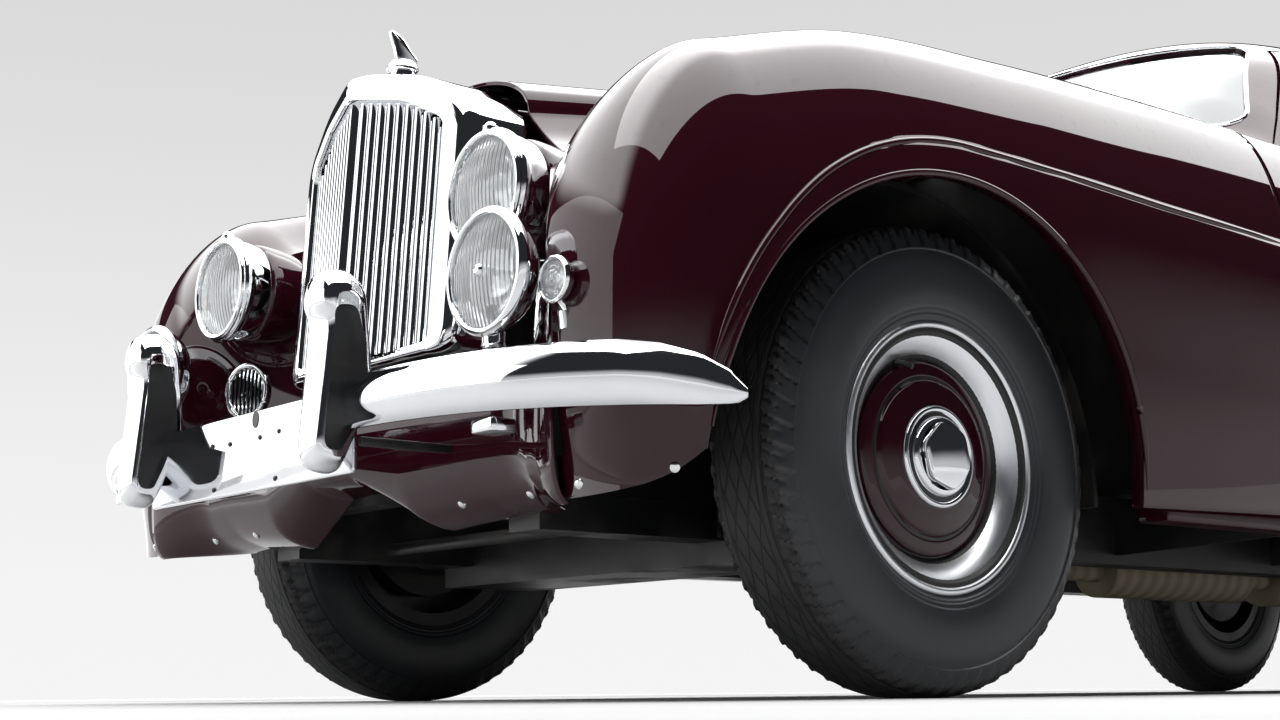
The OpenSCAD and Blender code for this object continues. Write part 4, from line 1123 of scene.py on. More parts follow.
def apron():
    """Panel between the wing noses: creased at the middle, swept back, then forward again into the noses."""
    profile = curve(APRON, 28)

    def point(y, k):
        back, z = profile[k]
        blend = ease((abs(y) - 470) / 168)
        x = mix(APRON_X - APRON_SWEEP * abs(y), APRON_NOSE_X, blend) + back * mix(1.0, 0.27, blend)
        if z < APRON_BEND:
            low = along(APRON_LOW, abs(y))
            z = APRON_BEND - (APRON_BEND - z) * (APRON_BEND - low) / (APRON_BEND - APRON[-1][1])
        return Vector((x, y, z))

    bm = lattice(steps(-640, 640, 128), list(range(len(profile))), point)
    face_out(bm, (300, 0, 420))
    done(bm, "front_apron", PAINT, "car_body", ["front_apron"], wall=3, smooth=50)
    bolts = bmesh.new()
    for y, z in ((330, 298), (500, 300), (-330, 298), (-500, 300)):
        k = min(range(len(profile)), key=lambda k: abs(profile[k][1] - z))
        joined(bolts, turned(BOLT, point(y, k), 16, (0.75, 0, -0.66)))
    done(bolts, "apron_bolts", CHROME, "car_body")


def nose_bolts():
    bm = bmesh.new()
    inside = Vector((380, 560, 420))
    for u, v in ((529.1, 3.91), (638, 3.93)):
        at = skin(u, v)
        joined(bm, turned(BOLT, at, 16, (at - inside).normalized()))
    done(both_sides(bm), "nose_bolts", CHROME, "car_body")


def under_lamps():
    bm = slab(rounded([(690, 560), (736, 560), (736, 616), (690, 616)], 10), 372, 392, 2, 4)
    done(both_sides(bm), "under_lamps", CHROME, "car_body")


# Bumpers

# Edges of the side blades in front view: y, z
BLADE_TOP = ((331, 480), (450, 483), (579, 486), (706, 488), (776, 487), (817, 480), (855, 464), (881, 441),
             (891, 424), (897, 412))
BLADE_LOW = ((334, 402), (452, 401), (595, 400), (706, 398), (796, 396), (854, 394), (887, 395), (897, 404))
BLADE_R, BLADE_X, BLADE_Y = 690, 100, 342
# Overrider seen from the side, outer edge and recessed panel: x, z
OVERRIDER = rounded([(808, 333), (851, 338), (860, 372), (850, 470), (842, 556), (856, 598), (847, 636),
                     (803, 647), (773, 628), (760, 540), (755, 470), (778, 400)], 16, 4)
OVERRIDER_PANEL = rounded([(815, 366), (837, 366), (844, 378), (837, 470), (830, 556), (832, 574), (826, 584),
                           (803, 586), (791, 578), (778, 540), (774, 470), (797, 405)], 9, 4)
# Its middle, half its width, what its head gains on each side, and the share at which its panel lies
OVERRIDER_Y, OVERRIDER_HALF, HEAD_GAIN, PANEL_SHARE = 314, 33, 7, 0.62
PLATE_X = 790


def overrider():
    """A rounded hoop whose flat sides are pressed in."""
    hoop = [(math.cos(a), math.sin(a)) for a in steps(-math.pi / 2, math.pi / 2, 18)]
    rows = [(0, -PANEL_SHARE)] + hoop + [(0, PANEL_SHARE)]
    n = len(OVERRIDER)

    def point(k, i):
        edge, panel = Vector(OVERRIDER[k % n]), Vector(OVERRIDER_PANEL[k % n])
        share, y = rows[i]
        at = mix(panel, edge, abs(share) ** 0.75)
        half = OVERRIDER_HALF + HEAD_GAIN * ease((at.y - 555) / 45)
        return Vector((at.x, OVERRIDER_Y + half * y, at.y))

    bm = lattice(list(range(n + 1)), list(range(len(rows))), point)
    # The pressed-in sides are filled with the black plastic look: a dark sheet standing for the dark
    # reflections and shade in the chrome recess.
    for face in bmesh.ops.holes_fill(bm, edges=[e for e in bm.edges if e.is_boundary], sides=0)["faces"]:
        face.material_index = 1
    bmesh.ops.recalc_face_normals(bm, faces=bm.faces[:])
    return bm


def blade(angles, top, foot, swell, middle, r, ahead=1):
    """A sprung blade bent in plan, its front swelled out between its lower and upper edges."""
    back = -5.0

    def point(a, v):
        reach = Vector((math.cos(a) * ahead, math.sin(a), 0))
        y = r * math.sin(a)
        t = v if v <= 1 else 2 - v
        out = swell(y) * math.sin(math.pi * t) ** 0.62 if v <= 1 else back
        return Vector((middle[0], middle[1], mix(foot(y), top(y), t))) + reach * (r + out)

    bm = lattice(angles, steps(0, 2, 28), point)
    bmesh.ops.holes_fill(bm, edges=[e for e in bm.edges if e.is_boundary], sides=0)
    bmesh.ops.recalc_face_normals(bm, faces=bm.faces[:])
    return bm


def front_bumper():
    def top(y):
        return along(BLADE_TOP, y + BLADE_Y)

    def foot(y):
        return along(BLADE_LOW, y + BLADE_Y)

    def swell(y):
        return 20 * (1 - 0.7 * ease((y - 430) / 125))

    angles = steps(math.radians(-1), math.radians(53.3), 56)
    bm = blade(angles, top, foot, swell, (BLADE_X, BLADE_Y), BLADE_R)
    joined(bm, overrider())
    both_sides(bm)
    plate = rounded([(-336, 336), (336, 336), (336, 466), (-336, 466)], 8)
    joined(bm, slab(plate, PLATE_X - 9, PLATE_X, 0, 3))
    done(bm, "front_bumper", [CHROME, PLASTIC], "car_body", ["front_bumper"])
    # A dark oval set just proud of the plate: painted shade in the slot; the bolt heads share its look.
    slot = slab(oval(35, 452, 10, 14, 28), PLATE_X - 4, PLATE_X + 1, 0, 0)
    for y, z in ((113, 424), (104, 350), (-51, 421), (-113, 424), (-104, 350), (51, 421)):
        joined(slot, turned([(0, 3), (2.5, 2.6), (4.2, 1.2), (4.6, -2)], (PLATE_X, y, z), 14))
    done(slot, "bumper_slot", CHASSIS, "car_body")
    irons = slab([(622, 376), (782, 376), (782, 390), (622, 390)], 338, 349, 1, 3)
    done(both_sides(irons), "bumper_irons", CHASSIS, "car_body")


# Rear blade: bend, half its width, place of its back face
REAR_BLADE_R, REAR_BLADE_HALF, REAR_BLADE_X = 2600, 700, -4379
# Its overriders from the foot up: x, z, half depth, half width
REAR_OVERRIDER = ((0, 322, 4, 6), (0, 328, 15, 22), (0, 350, 19, 27), (0, 420, 19, 27), (2, 470, 17, 25),
                  (2, 492, 13, 20), (2, 499, 3, 5))


def rear_bumper():
    def top(y):
        return 436 - 34 * ease((abs(y) - 520) / 190)

    def foot(y):
        return 346 + 14 * ease((abs(y) - 520) / 190)

    def swell(y):
        return 6 * (1 - ease((abs(y) - 560) / 140))

    reach = math.asin(REAR_BLADE_HALF / REAR_BLADE_R)
    middle = (REAR_BLADE_X + REAR_BLADE_R, 0)
    bm = blade(steps(-reach, reach, 60), top, foot, swell, middle, REAR_BLADE_R, -1)
    for y in (OVERRIDER_Y, -OVERRIDER_Y):
        rings = []
        for x, z, deep, wide in curve(REAR_OVERRIDER, 24):
            rings.append([(*place, z) for place in oval(-4358 + x, y, deep, wide, 28)])
        joined(bm, loft(rings))
    for y in (360, -360):
        joined(bm, slab([(-4366, 372), (-4250, 372), (-4250, 412), (-4366, 412)], y - 20, y + 20, 1, 3))
    done(bm, "rear_bumper", CHROME, "car_body", ["rear_bumper"])


apron()
nose_bolts()
under_lamps()
front_bumper()
rear_bumper()


# Radiator

GRILLE_OUT = rounded([(-262, 555), (262, 555), (262, 985), (140, 1060), (0, 1086), (-140, 1060), (-262, 985)],
                     50, 8)
GRILLE_IN = rounded([(-210, 578), (210, 578), (210, 960), (120, 1008), (0, 1032), (-120, 1008), (-210, 960)],
                    24, 8)
# Surround from the opening outward: share of the way to the outline, depth behind the face,
# share of the way back to the bonnet
SURROUND = ((-0.02, 34, 0), (-0.02, 14, 0), (0.02, 6, 0), (0.08, 1.5, 0), (0.18, 0, 0), (0.4, -1.5, 0),
            (0.6, -1, 0), (0.74, 1.5, 0), (0.86, 6, 0), (0.945, 13, 0), (0.985, 21, 0), (1, 30, 0),
            (1, 30, 0.25), (1, 30, 0.6), (1, 30, 0.97), (0.93, 30, 1.0))
FILLER_CAP = ((0, 52), (6, 52), (14, 50), (22, 45), (27, 38), (29, 32), (27, 28), (23, 26), (23, 10), (26, 4),
              (34, 0), (36, -8))
FIN = ((468, 1138), (482, 1150), (500, 1172), (520, 1184), (530, 1182), (526, 1170), (520, 1154), (516, 1138),
       (512, 1128), (474, 1128))
# Sections of the plain slats and the middle one: across, depth
SLAT = ((-7.6, 24), (-7.6, 12), (-6.6, 6.5), (-4.2, 3), (0, 1.4), (4.2, 3), (6.6, 6.5), (7.6, 12), (7.6, 24))
MIDDLE_SLAT = ((-9, 26), (-8.5, 12), (-6, 6), (-2.5, 1), (0, -1), (2.5, 1), (6, 6), (8.5, 12), (9, 26))
SLAT_PITCH, SLATS_EACH_SIDE, SLAT_FOOT, SLAT_DEPTH = 20, 10, 572, 12
# Radiator's face: place at mid height, slope to the sides, and lean back in degrees
FACE_X, FACE_Z, FACE_SLOPE, FACE_LEAN = 630, 800, 0.305, 4


def ridge(y, z, back=0.0):
    lean = (z - FACE_Z) * math.tan(math.radians(FACE_LEAN))
    return FACE_X - back - FACE_SLOPE * math.sqrt(y * y + 30) - lean


def shell_back(z):
    return 424 + (z - 1081) * BONNET_RISE


def radiator():
    n = len(GRILLE_OUT)

    def point(k, place):
        share, deep, back = SURROUND[place]
        p = mix(Vector(GRILLE_IN[k % n]), Vector(GRILLE_OUT[k % n]), share)
        return Vector((mix(ridge(p.x, p.y, deep), shell_back(p.y), back), p.x, p.y))

    bm = lattice(list(range(n + 1)), list(range(len(SURROUND))), point)
    bmesh.ops.recalc_face_normals(bm, faces=bm.faces[:])
    face_out(bm, (560, 0, 800))
    for side in (1, -1):
        joined(bm, slab([(440, 400), (468, 400), (468, 575), (440, 575)], side * 200, side * 240, 1, 3))
    joined(bm, turned(FILLER_CAP, (500, 0, 1082), 48, (0, 0, 1)))
    joined(bm, slab(rounded(FIN, 8, 3), -5, 5, 1, 3.5))
    done(bm, "radiator_shell", CHROME, "car_body", ["radiator_shell"])


def slat(y, section):
    """One slat, from the foot of the opening to its arched top."""
    top = 1038 - 0.2 * abs(y) - 0.53 * max(0.0, abs(y) - 120)
    rise = steps(SLAT_FOOT, top, 3)

    def point(z, k):
        across, deep = section[k]
        return Vector((ridge(y + across, z, deep + SLAT_DEPTH), y + across, z))

    return lattice(rise, list(range(len(section))), point)


def slats():
    bm = bmesh.new()
    for k in range(-SLATS_EACH_SIDE, SLATS_EACH_SIDE + 1):
        joined(bm, slat(k * SLAT_PITCH, SLAT if k else MIDDLE_SLAT))
    face_out(bm, (300, 0, 800))
    done(bm, "radiator_slats", CHROME, "car_body", ["radiator_slats"], smooth=60)

    def core_point(y, z):
        return Vector((ridge(y, z, 46), y, min(z, 1044 - 0.34 * abs(y))))

    core = lattice(steps(-216, 216, 12), steps(568, 1030, 6), core_point)
    face_out(core, (300, 0, 800))
    done(core, "radiator_core", CHASSIS, "car_body", wall=20)


radiator()
slats()


# Lamps

HEADLAMP, FOG_LAMP, SIDE_LAMP = (626, 433, 772), (707, 550, 614), (672, 671, 585)
# Shells of the lamps from the back to the lens: radius, place along the axis
HEADLAMP_RIM = ((80, -72), (88, -66), (93, -52), (96, -36), (97, -24), (98.5, -20), (101, -17), (102, -12),
                (101, -7), (98.5, -4), (97.5, -3), (97, 0), (94.5, 3.5), (91, 4.5), (87.5, 2.5), (86, -2),
                (86, -10))
HEADLAMP_POD = ((84, -60), (93, -64), (94, -84), (88, -124), (74, -168), (50, -210), (20, -236), (0, -242))
FOG_SHELL = ((34, -64), (56, -60), (74, -48), (86, -32), (91, -22), (93, -18), (96, -14), (97, -8),
             (95.5, -3), (92, 1), (88, 2.5), (84.5, 1), (83, -3), (83, -10))
SIDE_SHELL = ((14, -24), (22, -22), (29, -16), (32, -9), (34.5, -6), (35, -2), (33, 1.5), (30, 2), (28.5, -1),
              (28, -5))


def bulb_and_bowl(at, r, deep):
    """Reflector bowl with a small bulb shield, behind a lens of radius r."""
    bowl = [(r * math.sqrt(t), -deep * (1 - t) - 8) for t in steps(0.02, 1, 14)]
    bm = turned(bowl, at, 64)
    joined(bm, turned([(0, -deep * 0.35), (7, -deep * 0.37), (10, -deep * 0.5), (10, -deep * 0.95)], at, 24))
    face_out(bm, (at[0] - 300, at[1], at[2]))
    return bm


def lens_face(at, r, crown, edge=-6):
    return turned([(r * t, edge + crown * (1 - t * t)) for t in steps(0.0, 1, 16)], at, 72)


def fog_post():
    """Stem of the fog lamp, ribbed along its middle, and the bar that carries it."""
    x, y, z = FOG_LAMP
    line = [(x - 20, y, height) for height in steps(436, z - 88, 30)]
    radius = []
    for k in range(len(line)):
        if k >= 24:
            radius.append(17)
        else:
            radius.append(15 + 3.5 * (k % 2) if k > 4 else 11)
    bm = tube(line, radius, 20)
    return joined(bm, tube([(590, y, 440), (x - 10, y, 440)], 9, 12))


def lamp_shells():
    x, y, z = HEADLAMP
    bm = turned(curve(HEADLAMP_RIM, 52), HEADLAMP, 88)
    clip = rounded([(x - 26, y - 9), (x - 2, y - 9), (x - 2, y + 9), (x - 26, y + 9)], 7, 4)
    joined(bm, slab(clip, z + 96, z + 108, 2, 3))
    joined(bm, turned([(0, 6), (5, 5.5), (8, 3), (9, 0)], (x - 14, y, z + 108), 20, (0, 0, 1)))
    joined(bm, turned(curve(FOG_SHELL, 48), FOG_LAMP, 88))
    joined(bm, turned([(0, 13), (6, 12.5), (9, 10), (10, 6), (10, 0)], FOG_LAMP, 24))
    joined(bm, fog_post())
    joined(bm, turned(curve(SIDE_SHELL, 30), SIDE_LAMP, 48))
    foot = [(640, 664, 520), (646, 664, 545), (652, 666, 562), (660, 668, 575)]
    joined(bm, tube(foot, [12, 10, 9, 12], 14))
    done(both_sides(bm), "lamp_shells", CHROME, "car_body", ["lamp_shells"])


def lamp_insides():
    bowls = bulb_and_bowl(HEADLAMP, 86, 60)
    joined(bowls, bulb_and_bowl(FOG_LAMP, 83, 48))
    joined(bowls, bulb_and_bowl(SIDE_LAMP, 28, 14))
    done(both_sides(bowls), "lamp_reflectors", CHROME, "car_body")
    glass = lens_face(HEADLAMP, 86.5, 16)
    joined(glass, lens_face(FOG_LAMP, 83.5, 14))
    rippled = [(28.5 * t, -4 + 7 * (1 - t * t) + 1.2 * math.sin(t * 22)) for t in steps(0, 1, 26)]
    joined(glass, turned(rippled, SIDE_LAMP, 40))
    done(both_sides(glass), "lamp_lenses", LENS, "car_body", ["lamp_lenses"], smooth=60)


def headlamp_pods():
    bm = turned(curve(HEADLAMP_POD, 36), HEADLAMP, 64)
    stalk = [(600, 600, 470), (612, 612, 500), (628, 640, 520), (636, 658, 530)]
    joined(bm, tube(stalk, [30, 24, 17, 12], 20))
    done(both_sides(bm), "headlamp_pods", PAINT, "car_body")


lamp_shells()
lamp_insides()
headlamp_pods()


# Trim on the body

def normal_at(u, v, axis):
    """Direction straight out of the skin, on the side where that axis grows."""
    out = (skin(u + 1, v) - skin(u - 1, v)).cross(skin(u, v + 0.01) - skin(u, v - 0.01)).normalized()
    return out if out[axis] > 0 else -out


def rims(key, radius):
    bm = bmesh.new()
    for line in RIMS[key]:
        joined(bm, tube(line + line[:1], radius, 8))
    return bm


# Horn grilles: place on the skin, half width, half height
HORN_U, HORN_V, HORN_WIDE, HORN_HIGH = 503, 0.484, 40, 52


def horn_grille():
    """Ribbed oval set in the wing's inner flank under the headlamp."""
    at, out = skin(HORN_U, HORN_V), normal_at(HORN_U, HORN_V, 0)
    up = (Vector((0, 0, 1)) - out * out.z).normalized()
    across = up.cross(out)

    def on_face(a, b, c):
        return at + across * a + up * b + out * c

    ring = [on_face(y, z, 5) for y, z in oval(0, 0, HORN_WIDE, HORN_HIGH, 48)]
    bm = tube(ring + ring[:1], 6, 10)
    for a in steps(-33, 33, 8):
        half = (HORN_HIGH - 2) * math.sqrt(1 - (a / HORN_WIDE) ** 2)
        rib = [on_face(a, b, 6 - 5 * (b / HORN_HIGH) ** 2) for b in steps(-half, half, 8)]
        joined(bm, tube(rib, 2.6, 8))

    # The back behind the ribs is a black sheet: painted shade in the grille's openings.
    def back_point(r, a):
        return on_face((HORN_WIDE - 1) * r * math.cos(a), (HORN_HIGH - 1) * r * math.sin(a), 1)

    joined(bm, dressed(lattice(steps(0, 1, 3), steps(0, 2 * math.pi, 40), back_point), 1))
    done(both_sides(bm), "horn_grilles", [CHROME, CHASSIS], "car_body")


def wipers():
    bm = bmesh.new()
    for foot, tip in ((0.20, 0.52), (-0.44, -0.10)):
        lift = Vector((0.5, 0, 0.86))
        base = skin(-1046, foot)
        joined(bm, turned([(0, 30), (7, 29), (10, 24), (10, 12), (15, 8), (17, -4)], base, 20, lift))
        arm = [base + lift * 22]
        for t in steps(0.12, 1, 10):
            arm.append(skin(mix(-1062, -1088, t), mix(foot, tip, t)) + lift * mix(26, 16, t))
        joined(bm, tube(arm, [5.5 - 0.25 * k for k in range(len(arm))], 10))
        reach = tip - foot
        joined(bm, tube([skin(-1086, tip + reach * t) + lift * 9 for t in steps(-0.5, 0.55, 14)], 4.5, 8, 1))
    done(bm, "wipers", [CHROME, PLASTIC], "car_body")


# Door handle's bar from front to back, counted from its place on the skin; and the radius along it
HANDLE = ((56, 4, 0), (50, 26, 0), (20, 33, 1), (-30, 33, 1), (-62, 29, -2))
HANDLE_R = [9, 9, 8.5, 8, 7.5, 7.5, 7.5, 8, 8.5, 9, 9, 9, 9, 9, 9, 8.5, 8, 7.5, 7, 6, 4]
HANDLE_X, HANDLE_Z, LOCK_Z = -1990, 900, 848


def handle(hand, side):
    at = flank(HANDLE_X, HANDLE_Z)
    boss = Vector((54, 0, 0))
    bm = tube(curve([at + Vector(place) for place in HANDLE], 20), HANDLE_R, 14)
    joined(bm, turned([(0, 12), (13, 12), (17, 8), (19, 3), (19, -3)], at + boss, 28, (0, 1, 0)))
    lock = flank(HANDLE_X, LOCK_Z) + boss
    joined(bm, turned([(0, 7), (8, 7), (11, 4), (12, -3)], lock, 24, (0, 1, 0)))
    done(on_side(bm, side), f"door_handle_{hand}", CHROME, f"door_{hand}")


def window_rims():
    bm = both_sides(rims("quarter", 4.5))
    joined(bm, rims("screens", 5))
    done(bm, "window_rims", CHROME, "car_body")


def hinge_strip():
    bm = tube([(x, 0, middle_z(x) + 3.5) for x in steps(404, -862, 40)], 7, 10)
    done(bm, "bonnet_hinge_strip", CHROME, "car_body")


def tail_lamps():
    u, v = -4103.3, 2.5
    at, out = skin(u, v), normal_at(u, v, 1)
    bm = turned([(47, -4), (47, 5), (45, 9), (41, 11), (38, 9), (37, 5)], at, 48, out, 1)
    lens = curve([(37.5, 6), (37, 10), (33, 18), (25, 25), (13, 29), (0, 30)], 20)
    joined(bm, turned(lens, at, 48, out))
    done(both_sides(bm), "tail_lamps", [RED, CHROME], "car_body", ["tail_lamps"])


def sills():
    bm = slab(rounded([(780, 294), (846, 294), (846, 328), (780, 328)], 10, 4), -2560, -520, 0, 4)
    done(both_sides(bm), "sills", PAINT, "car_body", ["sills"])


for hand, side in SIDES:
    done(on_side(rims("door", 4.5), side), f"door_window_rim_{hand}", CHROME, f"door_{hand}")
    handle(hand, side)
window_rims()
horn_grille()
wipers()
hinge_strip()
tail_lamps()
sills()


# Cabin

def pad(middle, length, out, half, pleats, crown):
    """A stuffed pad: crowned on its outer face, its sides drawn in, with pleats sewn down its length.
    Half sizes go across, along and out."""
    bm = bmesh.new()
    bmesh.ops.create_cube(bm, size=2)
    bmesh.ops.subdivide_edges(bm, edges=bm.edges[:], cuts=26, use_grid_fill=True)
    length, out = Vector(length).normalized(), Vector(out).normalized()
    across = length.cross(out)
    pleat_depth, border_depth = 9, 5
    for v in bm.verts:
        p, q, r = v.co
        ball = []
        for a, b, c in ((p, q, r), (q, r, p), (r, p, q)):
            ball.append(a * math.sqrt(max(0.0, 1 - b * b / 2 - c * c / 2 + b * b * c * c / 3)))
        p2, q2, r2 = (mix(a, b, 0.3) for a, b in zip((p, q, r), ball))
        lift = crown * (1 - p * p) * (1 - q * q) * max(0.0, r)
        outer = ease((r - 0.8) / 0.2)
        sewn = sum(math.exp(-((p - c) / 0.035) ** 2) for c in pleats) * ease((0.86 - abs(q)) / 0.1) * outer
        border = math.exp(-((max(abs(p), abs(q)) - 0.84) / 0.04) ** 2) * outer
        draw = 1 - 0.03 * (1 - r * r)
        wide = p2 * half[0] * draw * (1 - 0.02 * (1 - q * q))
        long = q2 * half[1] * draw * (1 - 0.02 * (1 - p * p))
        high = r2 * half[2] + lift - pleat_depth * sewn - border_depth * border
        v.co = Vector(middle) + across * wide + length * long + out * high
    bmesh.ops.recalc_face_normals(bm, faces=bm.faces[:])
    return bm


# Filling of the pads: cloth pressure, frames it runs, and how far a point may move in metres
PUFF_PRESSURE, PUFF_FRAMES, PUFF_CAP = 4.0, 20, 0.010


def puffed(piece, held):
    """Fills a pad with cloth pressure, its held points kept, and no point let far from where it was cut."""
    scene, mesh = bpy.context.scene, piece.data
    group = piece.vertex_groups.new(name="held")
    group.add([v.index for v in mesh.vertices if held(v)], 1.0, "REPLACE")
    cloth = piece.modifiers.new("cloth", "CLOTH")
    cloth.settings.use_pressure, cloth.settings.uniform_pressure_force = True, PUFF_PRESSURE
    cloth.settings.vertex_group_mass = "held"
    cloth.settings.effector_weights.gravity = 0.0
    cloth.point_cache.frame_start, cloth.point_cache.frame_end = 1, PUFF_FRAMES
    for frame_number in range(1, PUFF_FRAMES + 1):
        scene.frame_set(frame_number)
    filled = piece.evaluated_get(bpy.context.evaluated_depsgraph_get()).data
    moved = [a.co - b.co for a, b in zip(filled.vertices, mesh.vertices)]
    piece.modifiers.remove(cloth)
    piece.vertex_groups.remove(group)
    for v, by in zip(mesh.vertices, moved):
        v.co += by * min(1.0, PUFF_CAP / max(1e-6, by.length))
    scene.frame_set(1)


# Seat pads: height of the middle or foot, half thickness, crown; and the box foot's lower and upper face
CUSHION_Z, CUSHION_HALF, CUSHION_CROWN = 524, 52, 16
BACK_FOOT_Z, BACK_HALF, BACK_CROWN = 575, 40, 12
BOX_LOW, BOX_HIGH = 414, 480


def seat(name, places, front_x, back_x, top_x, top_z, rows):
    """Seats of cushion, back and box foot, where the part's plain ones are."""
    bm = bmesh.new()
    pleats = steps(-0.7, 0.7, rows)
    for y0, y1 in places:
        y, wide = (y0 + y1) / 2, (y1 - y0) / 2
        middle = (mix(front_x, back_x, 0.5), y, CUSHION_Z)
        half = (wide, (front_x - back_x) / 2, CUSHION_HALF)
        joined(bm, pad(middle, (-1, 0, -0.03), (-0.03, 0, 1), half, pleats, CUSHION_CROWN))
        lean = Vector((top_x - back_x - 20, 0, top_z - 562)).normalized()
        foot = Vector((back_x - 26, y, BACK_FOOT_Z))
        top = Vector((top_x - 42, y, top_z))
        half = (wide - 6, (top - foot).length / 2, BACK_HALF)
        joined(bm, pad((foot + top) / 2, lean, (lean.z, 0, -lean.x), half, pleats, BACK_CROWN))
        box = [(front_x - 24, y0 + 22), (back_x - 60, y0 + 22), (back_x - 60, y1 - 22),
               (front_x - 24, y1 - 22)]
        joined(bm, slab(rounded(box, 30), BOX_LOW, BOX_HIGH, 2, 6))
    piece = done(bm, name, LEATHER, "car_body", [name], smooth=60)
    puffed(piece, lambda v: v.co.z < 0.485 or v.normal.x < -0.5 or v.normal.z < -0.3)
    rounding = piece.modifiers.new("round", "SUBSURF")
    rounding.levels = rounding.render_levels = 1


# Dials: y, z, radius; knobs: y, z
DIALS = ((-452, 952, 54), (-288, 952, 54), (-150, 968, 34), (-60, 968, 34), (30, 968, 34), (-105, 898, 30),
         (-15, 898, 30))
KNOBS = ((-200, 872), (70, 872), (320, 946))
BOARD_X = -1170
# Steering wheel's middle, and the way its column runs down from it
HUB = Vector((-1500, -370, 930))
COLUMN_LEAN = math.radians(25)
COLUMN = Vector((math.cos(COLUMN_LEAN), 0, -math.sin(COLUMN_LEAN)))


def dashboard():
    toward = (-1, 0, 0)
    board = rounded([(-597, 852), (597, 852), (597, 1038), (-597, 1038)], 34)
    bm = slab(board, BOARD_X, BOARD_X + 24, 0, 6)
    lid = rounded([(120, 880), (520, 880), (520, 1012), (120, 1012)], 18)
    joined(bm, slab(lid, BOARD_X - 4, BOARD_X + 2, 0, 2))
    shelf = rounded([(-1150, -588), (-905, -588), (-905, 588), (-1150, 588)], 20)
    joined(bm, slab(shelf, 1021, 1039, 2, 6, 1))
    joined(bm, tube([HUB + COLUMN * t for t in (-28, 40)], 9.5, 20, 2))
    joined(bm, tube([HUB + COLUMN * t for t in (30, 34, 60, 640, 648)], [17, 21, 22, 22, 21], 28, 2))
    for y, z, r in DIALS:
        at = (BOARD_X, y, z)
        joined(bm, turned([(0, 3), (r - 8, 3), (r - 6, 2)], at, 40, toward, 2))
        joined(bm, turned([(r - 7, 2), (r - 5, 8), (r - 1, 9.5), (r + 3, 7), (r + 4, -2)], at, 40, toward, 3))
    for y, z in KNOBS:
        knob = [(0, 22), (7, 21), (9, 16), (5, 10), (5, 0), (10, -1)]
        joined(bm, turned(knob, (BOARD_X - 2, y, z), 20, toward, 3))
    done(bm, "dashboard", [WALNUT, LEATHER, PLASTIC, CHROME], "car_body", ["dashboard"])


def steering_boss():
    bm = turned([(0, 40), (12, 39.5), (22, 36), (28, 30), (31, 27)], HUB, 40, -COLUMN)
    joined(bm, turned([(31, 28), (35, 29), (36, 25), (36, 20)], HUB, 40, -COLUMN, 1))
    done(bm, "steering_boss", [PLASTIC, CHROME], "steering_wheel")


# Air cleaner's drum from end to end: radius, place along it
DRUM = ((0, 158), (40, 157), (58, 148), (63, 130), (60, 118), (60, -118), (63, -130), (58, -148), (40, -157),
        (0, -158))
ENGINE_X = -380


def engine_dress():
    """Rocker cover, air cleaner on its two throats, distributor and plug leads on the plain block."""
    bm = slab(rounded([(-780, -66), (24, -66), (24, 66), (-780, 66)], 30), 897, 964, 2, 15)
    for x in steps(-730, -30, 5):
        joined(bm, turned([(0, 16), (7, 15), (10, 10), (13, 0), (13, -4)], (x, 0, 964), 20, (0, 0, 1), 1))
        bend = mix(x, ENGINE_X, 0.5)
        lead = curve([(x, 163, 800), (x, 196, 826), (bend, 182, 900), (ENGINE_X, 128, 958)], 14)
        joined(bm, tube(lead, 4.5, 8, 3))
    joined(bm, turned(curve(DRUM, 50), (ENGINE_X, -136, 972), 40, (1, 0, 0), 2))
    for x in (ENGINE_X - 110, ENGINE_X + 110):
        throat = curve([(x, -136, 930), (x, -156, 880), (x, -176, 846), (x, -160, 820)], 12)
        joined(bm, tube(throat, 26, 20, 1))
    distributor = [(0, 62), (18, 60), (27, 46), (31, 22), (31, -4)]
    joined(bm, turned(distributor, (ENGINE_X, 112, 900), 28, (0, 0, 1), 3))
    done(bm, "engine_dress", [ENGINE, POLISHED, CHASSIS, PLASTIC], "car_body")


engine_dress()
seat("front_seats", ((90, 590), (-590, -90)), -1640, -2140, -2210, 1040, 8)
seat("rear_seat", ((-520, 520),), -2400, -2630, -2650, 960, 15)
dashboard()
steering_boss()


# Camera, light and floor

# Where the photograph was taken from: place in metres, angles in degrees, focal length and width in pixels
CAMERA_PLACE = Vector((3.9475, 2.668, 0.012))
CAMERA_YAW, CAMERA_PITCH, CAMERA_ROLL = -129.93, 10.33, -0.55
FOCAL_PIXELS, PHOTO_WIDTH, SENSOR = 1827.5, 1280, 36.0


def camera():
    yaw, pitch, roll = math.radians(CAMERA_YAW), math.radians(CAMERA_PITCH), math.radians(CAMERA_ROLL)
    ahead = Vector((math.cos(pitch) * math.cos(yaw), math.cos(pitch) * math.sin(yaw), math.sin(pitch)))
    level = ahead.cross(Vector((0, 0, 1))).normalized()
    upright = level.cross(ahead)
    right = level * math.cos(roll) + upright * math.sin(roll)
    up = upright * math.cos(roll) - level * math.sin(roll)
    data = bpy.data.cameras.new("camera")
    data.sensor_width, data.lens = SENSOR, SENSOR * FOCAL_PIXELS / PHOTO_WIDTH
    data.clip_start, data.clip_end = 0.02, 200
    cam = bpy.data.objects.new("camera", data)
    turn = Matrix((right, up, -ahead)).transposed().to_4x4()
    cam.matrix_world = Matrix.Translation(CAMERA_PLACE) @ turn
    bpy.context.scene.collection.objects.link(cam)
    bpy.context.scene.camera = cam


def softbox(name, place, target, size, power):
    data = bpy.data.lights.new(name, "AREA")
    data.shape, data.size, data.size_y, data.energy = "RECTANGLE", size[0], size[1], power
    lamp = bpy.data.objects.new(name, data)
    lamp.location = place
    lamp.rotation_euler = (Vector(target) - Vector(place)).to_track_quat("-Z", "Y").to_euler()
    bpy.context.scene.collection.objects.link(lamp)


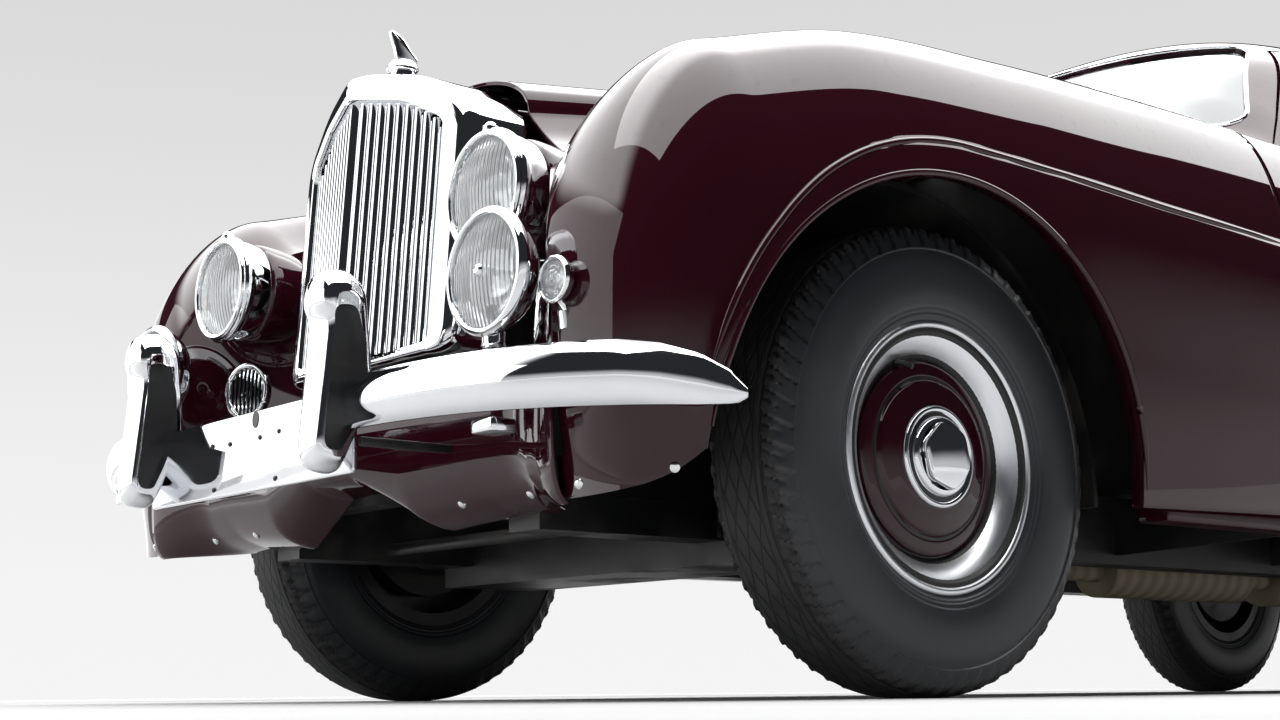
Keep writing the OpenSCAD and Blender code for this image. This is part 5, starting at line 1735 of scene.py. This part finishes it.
def floor_look(s):
    """Pale paper, kept as light far off as it is under the lamps."""
    x, y = s.axis("X"), s.axis("Y")
    far = ((x * x * 0.3 + y * y) ** 0.5).ramp(2.2, 8.0)
    return {
        "Base Color": s.noise(0.8).between((0.50, 0.50, 0.50), (0.54, 0.54, 0.54)),
        "Emission Color": far.between((0.0, 0.0, 0.0), (0.74, 0.74, 0.74)),
        "Roughness": 0.6 + 0.2 * s.noise(3),
    }


# Soft lamps: name, place, what they face, size, power
SOFT_LAMPS = (
    ("overhead", (-0.6, 0.6, 4.6), (-0.6, 0.4, 0), (12.0, 4.4), 740),
    ("front", (7.2, -3.4, 2.3), (1.9, 0, 0.9), (9.0, 4.2), 215),
    ("right", (2.4, -6.5, 1.6), (1.9, 0, 0.7), (5.0, 2.4), 60),
)


def grey(value):
    return (value, value, value)


def studio_light(s):
    """Pale backdrop for the camera; else a dim room, with a bright ceiling on one side for mirrors."""
    way = s.node("TexCoord", 0)
    rise = s.node("SeparateXYZ", 2, {0: way})
    to_right = s.node("SeparateXYZ", 1, {0: way}) * -1.0
    for_camera, for_mirror = s.node("LightPath", 0), s.node("LightPath", 3)
    backdrop = rise.ramp(0.0, 0.42).between(grey(0.91), grey(0.69))
    room = rise.ramp(0.02, 0.20).between((0.55, 0.55, 0.56), (0.022, 0.023, 0.026))
    ceiling = rise.ramp(0.46, 0.56) * to_right.ramp(0.0, 0.25) * for_mirror
    return for_camera.between(ceiling.between(room, grey(4.2)), backdrop)


def studio():
    world = bpy.data.worlds.new("studio")
    bpy.context.scene.world = world
    bpy.context.scene.view_settings.view_transform = "Standard"
    world.use_nodes = True
    tree = world.node_tree
    tree.nodes.clear()
    s = Sock(tree)
    out = tree.nodes.new("ShaderNodeOutputWorld")
    tree.links.new(s.node("Background", 0, {"Color": studio_light(s)}).socket, out.inputs[0])
    for lamp in SOFT_LAMPS:
        softbox(*lamp)


def paper_floor():
    half = 30
    bm = bmesh.new()
    bmesh.ops.create_grid(bm, x_segments=2, y_segments=2, size=half)
    mesh = bpy.data.meshes.new("floor")
    bm.to_mesh(mesh)
    bm.free()
    mesh.materials.append(material("floor_paper", floor_look, Emission_Strength=1.0))
    floor = bpy.data.objects.new("floor", mesh)
    bpy.context.scene.collection.objects.link(floor)


camera()
studio()
paper_floor()

bpy.context.view_layer.update()
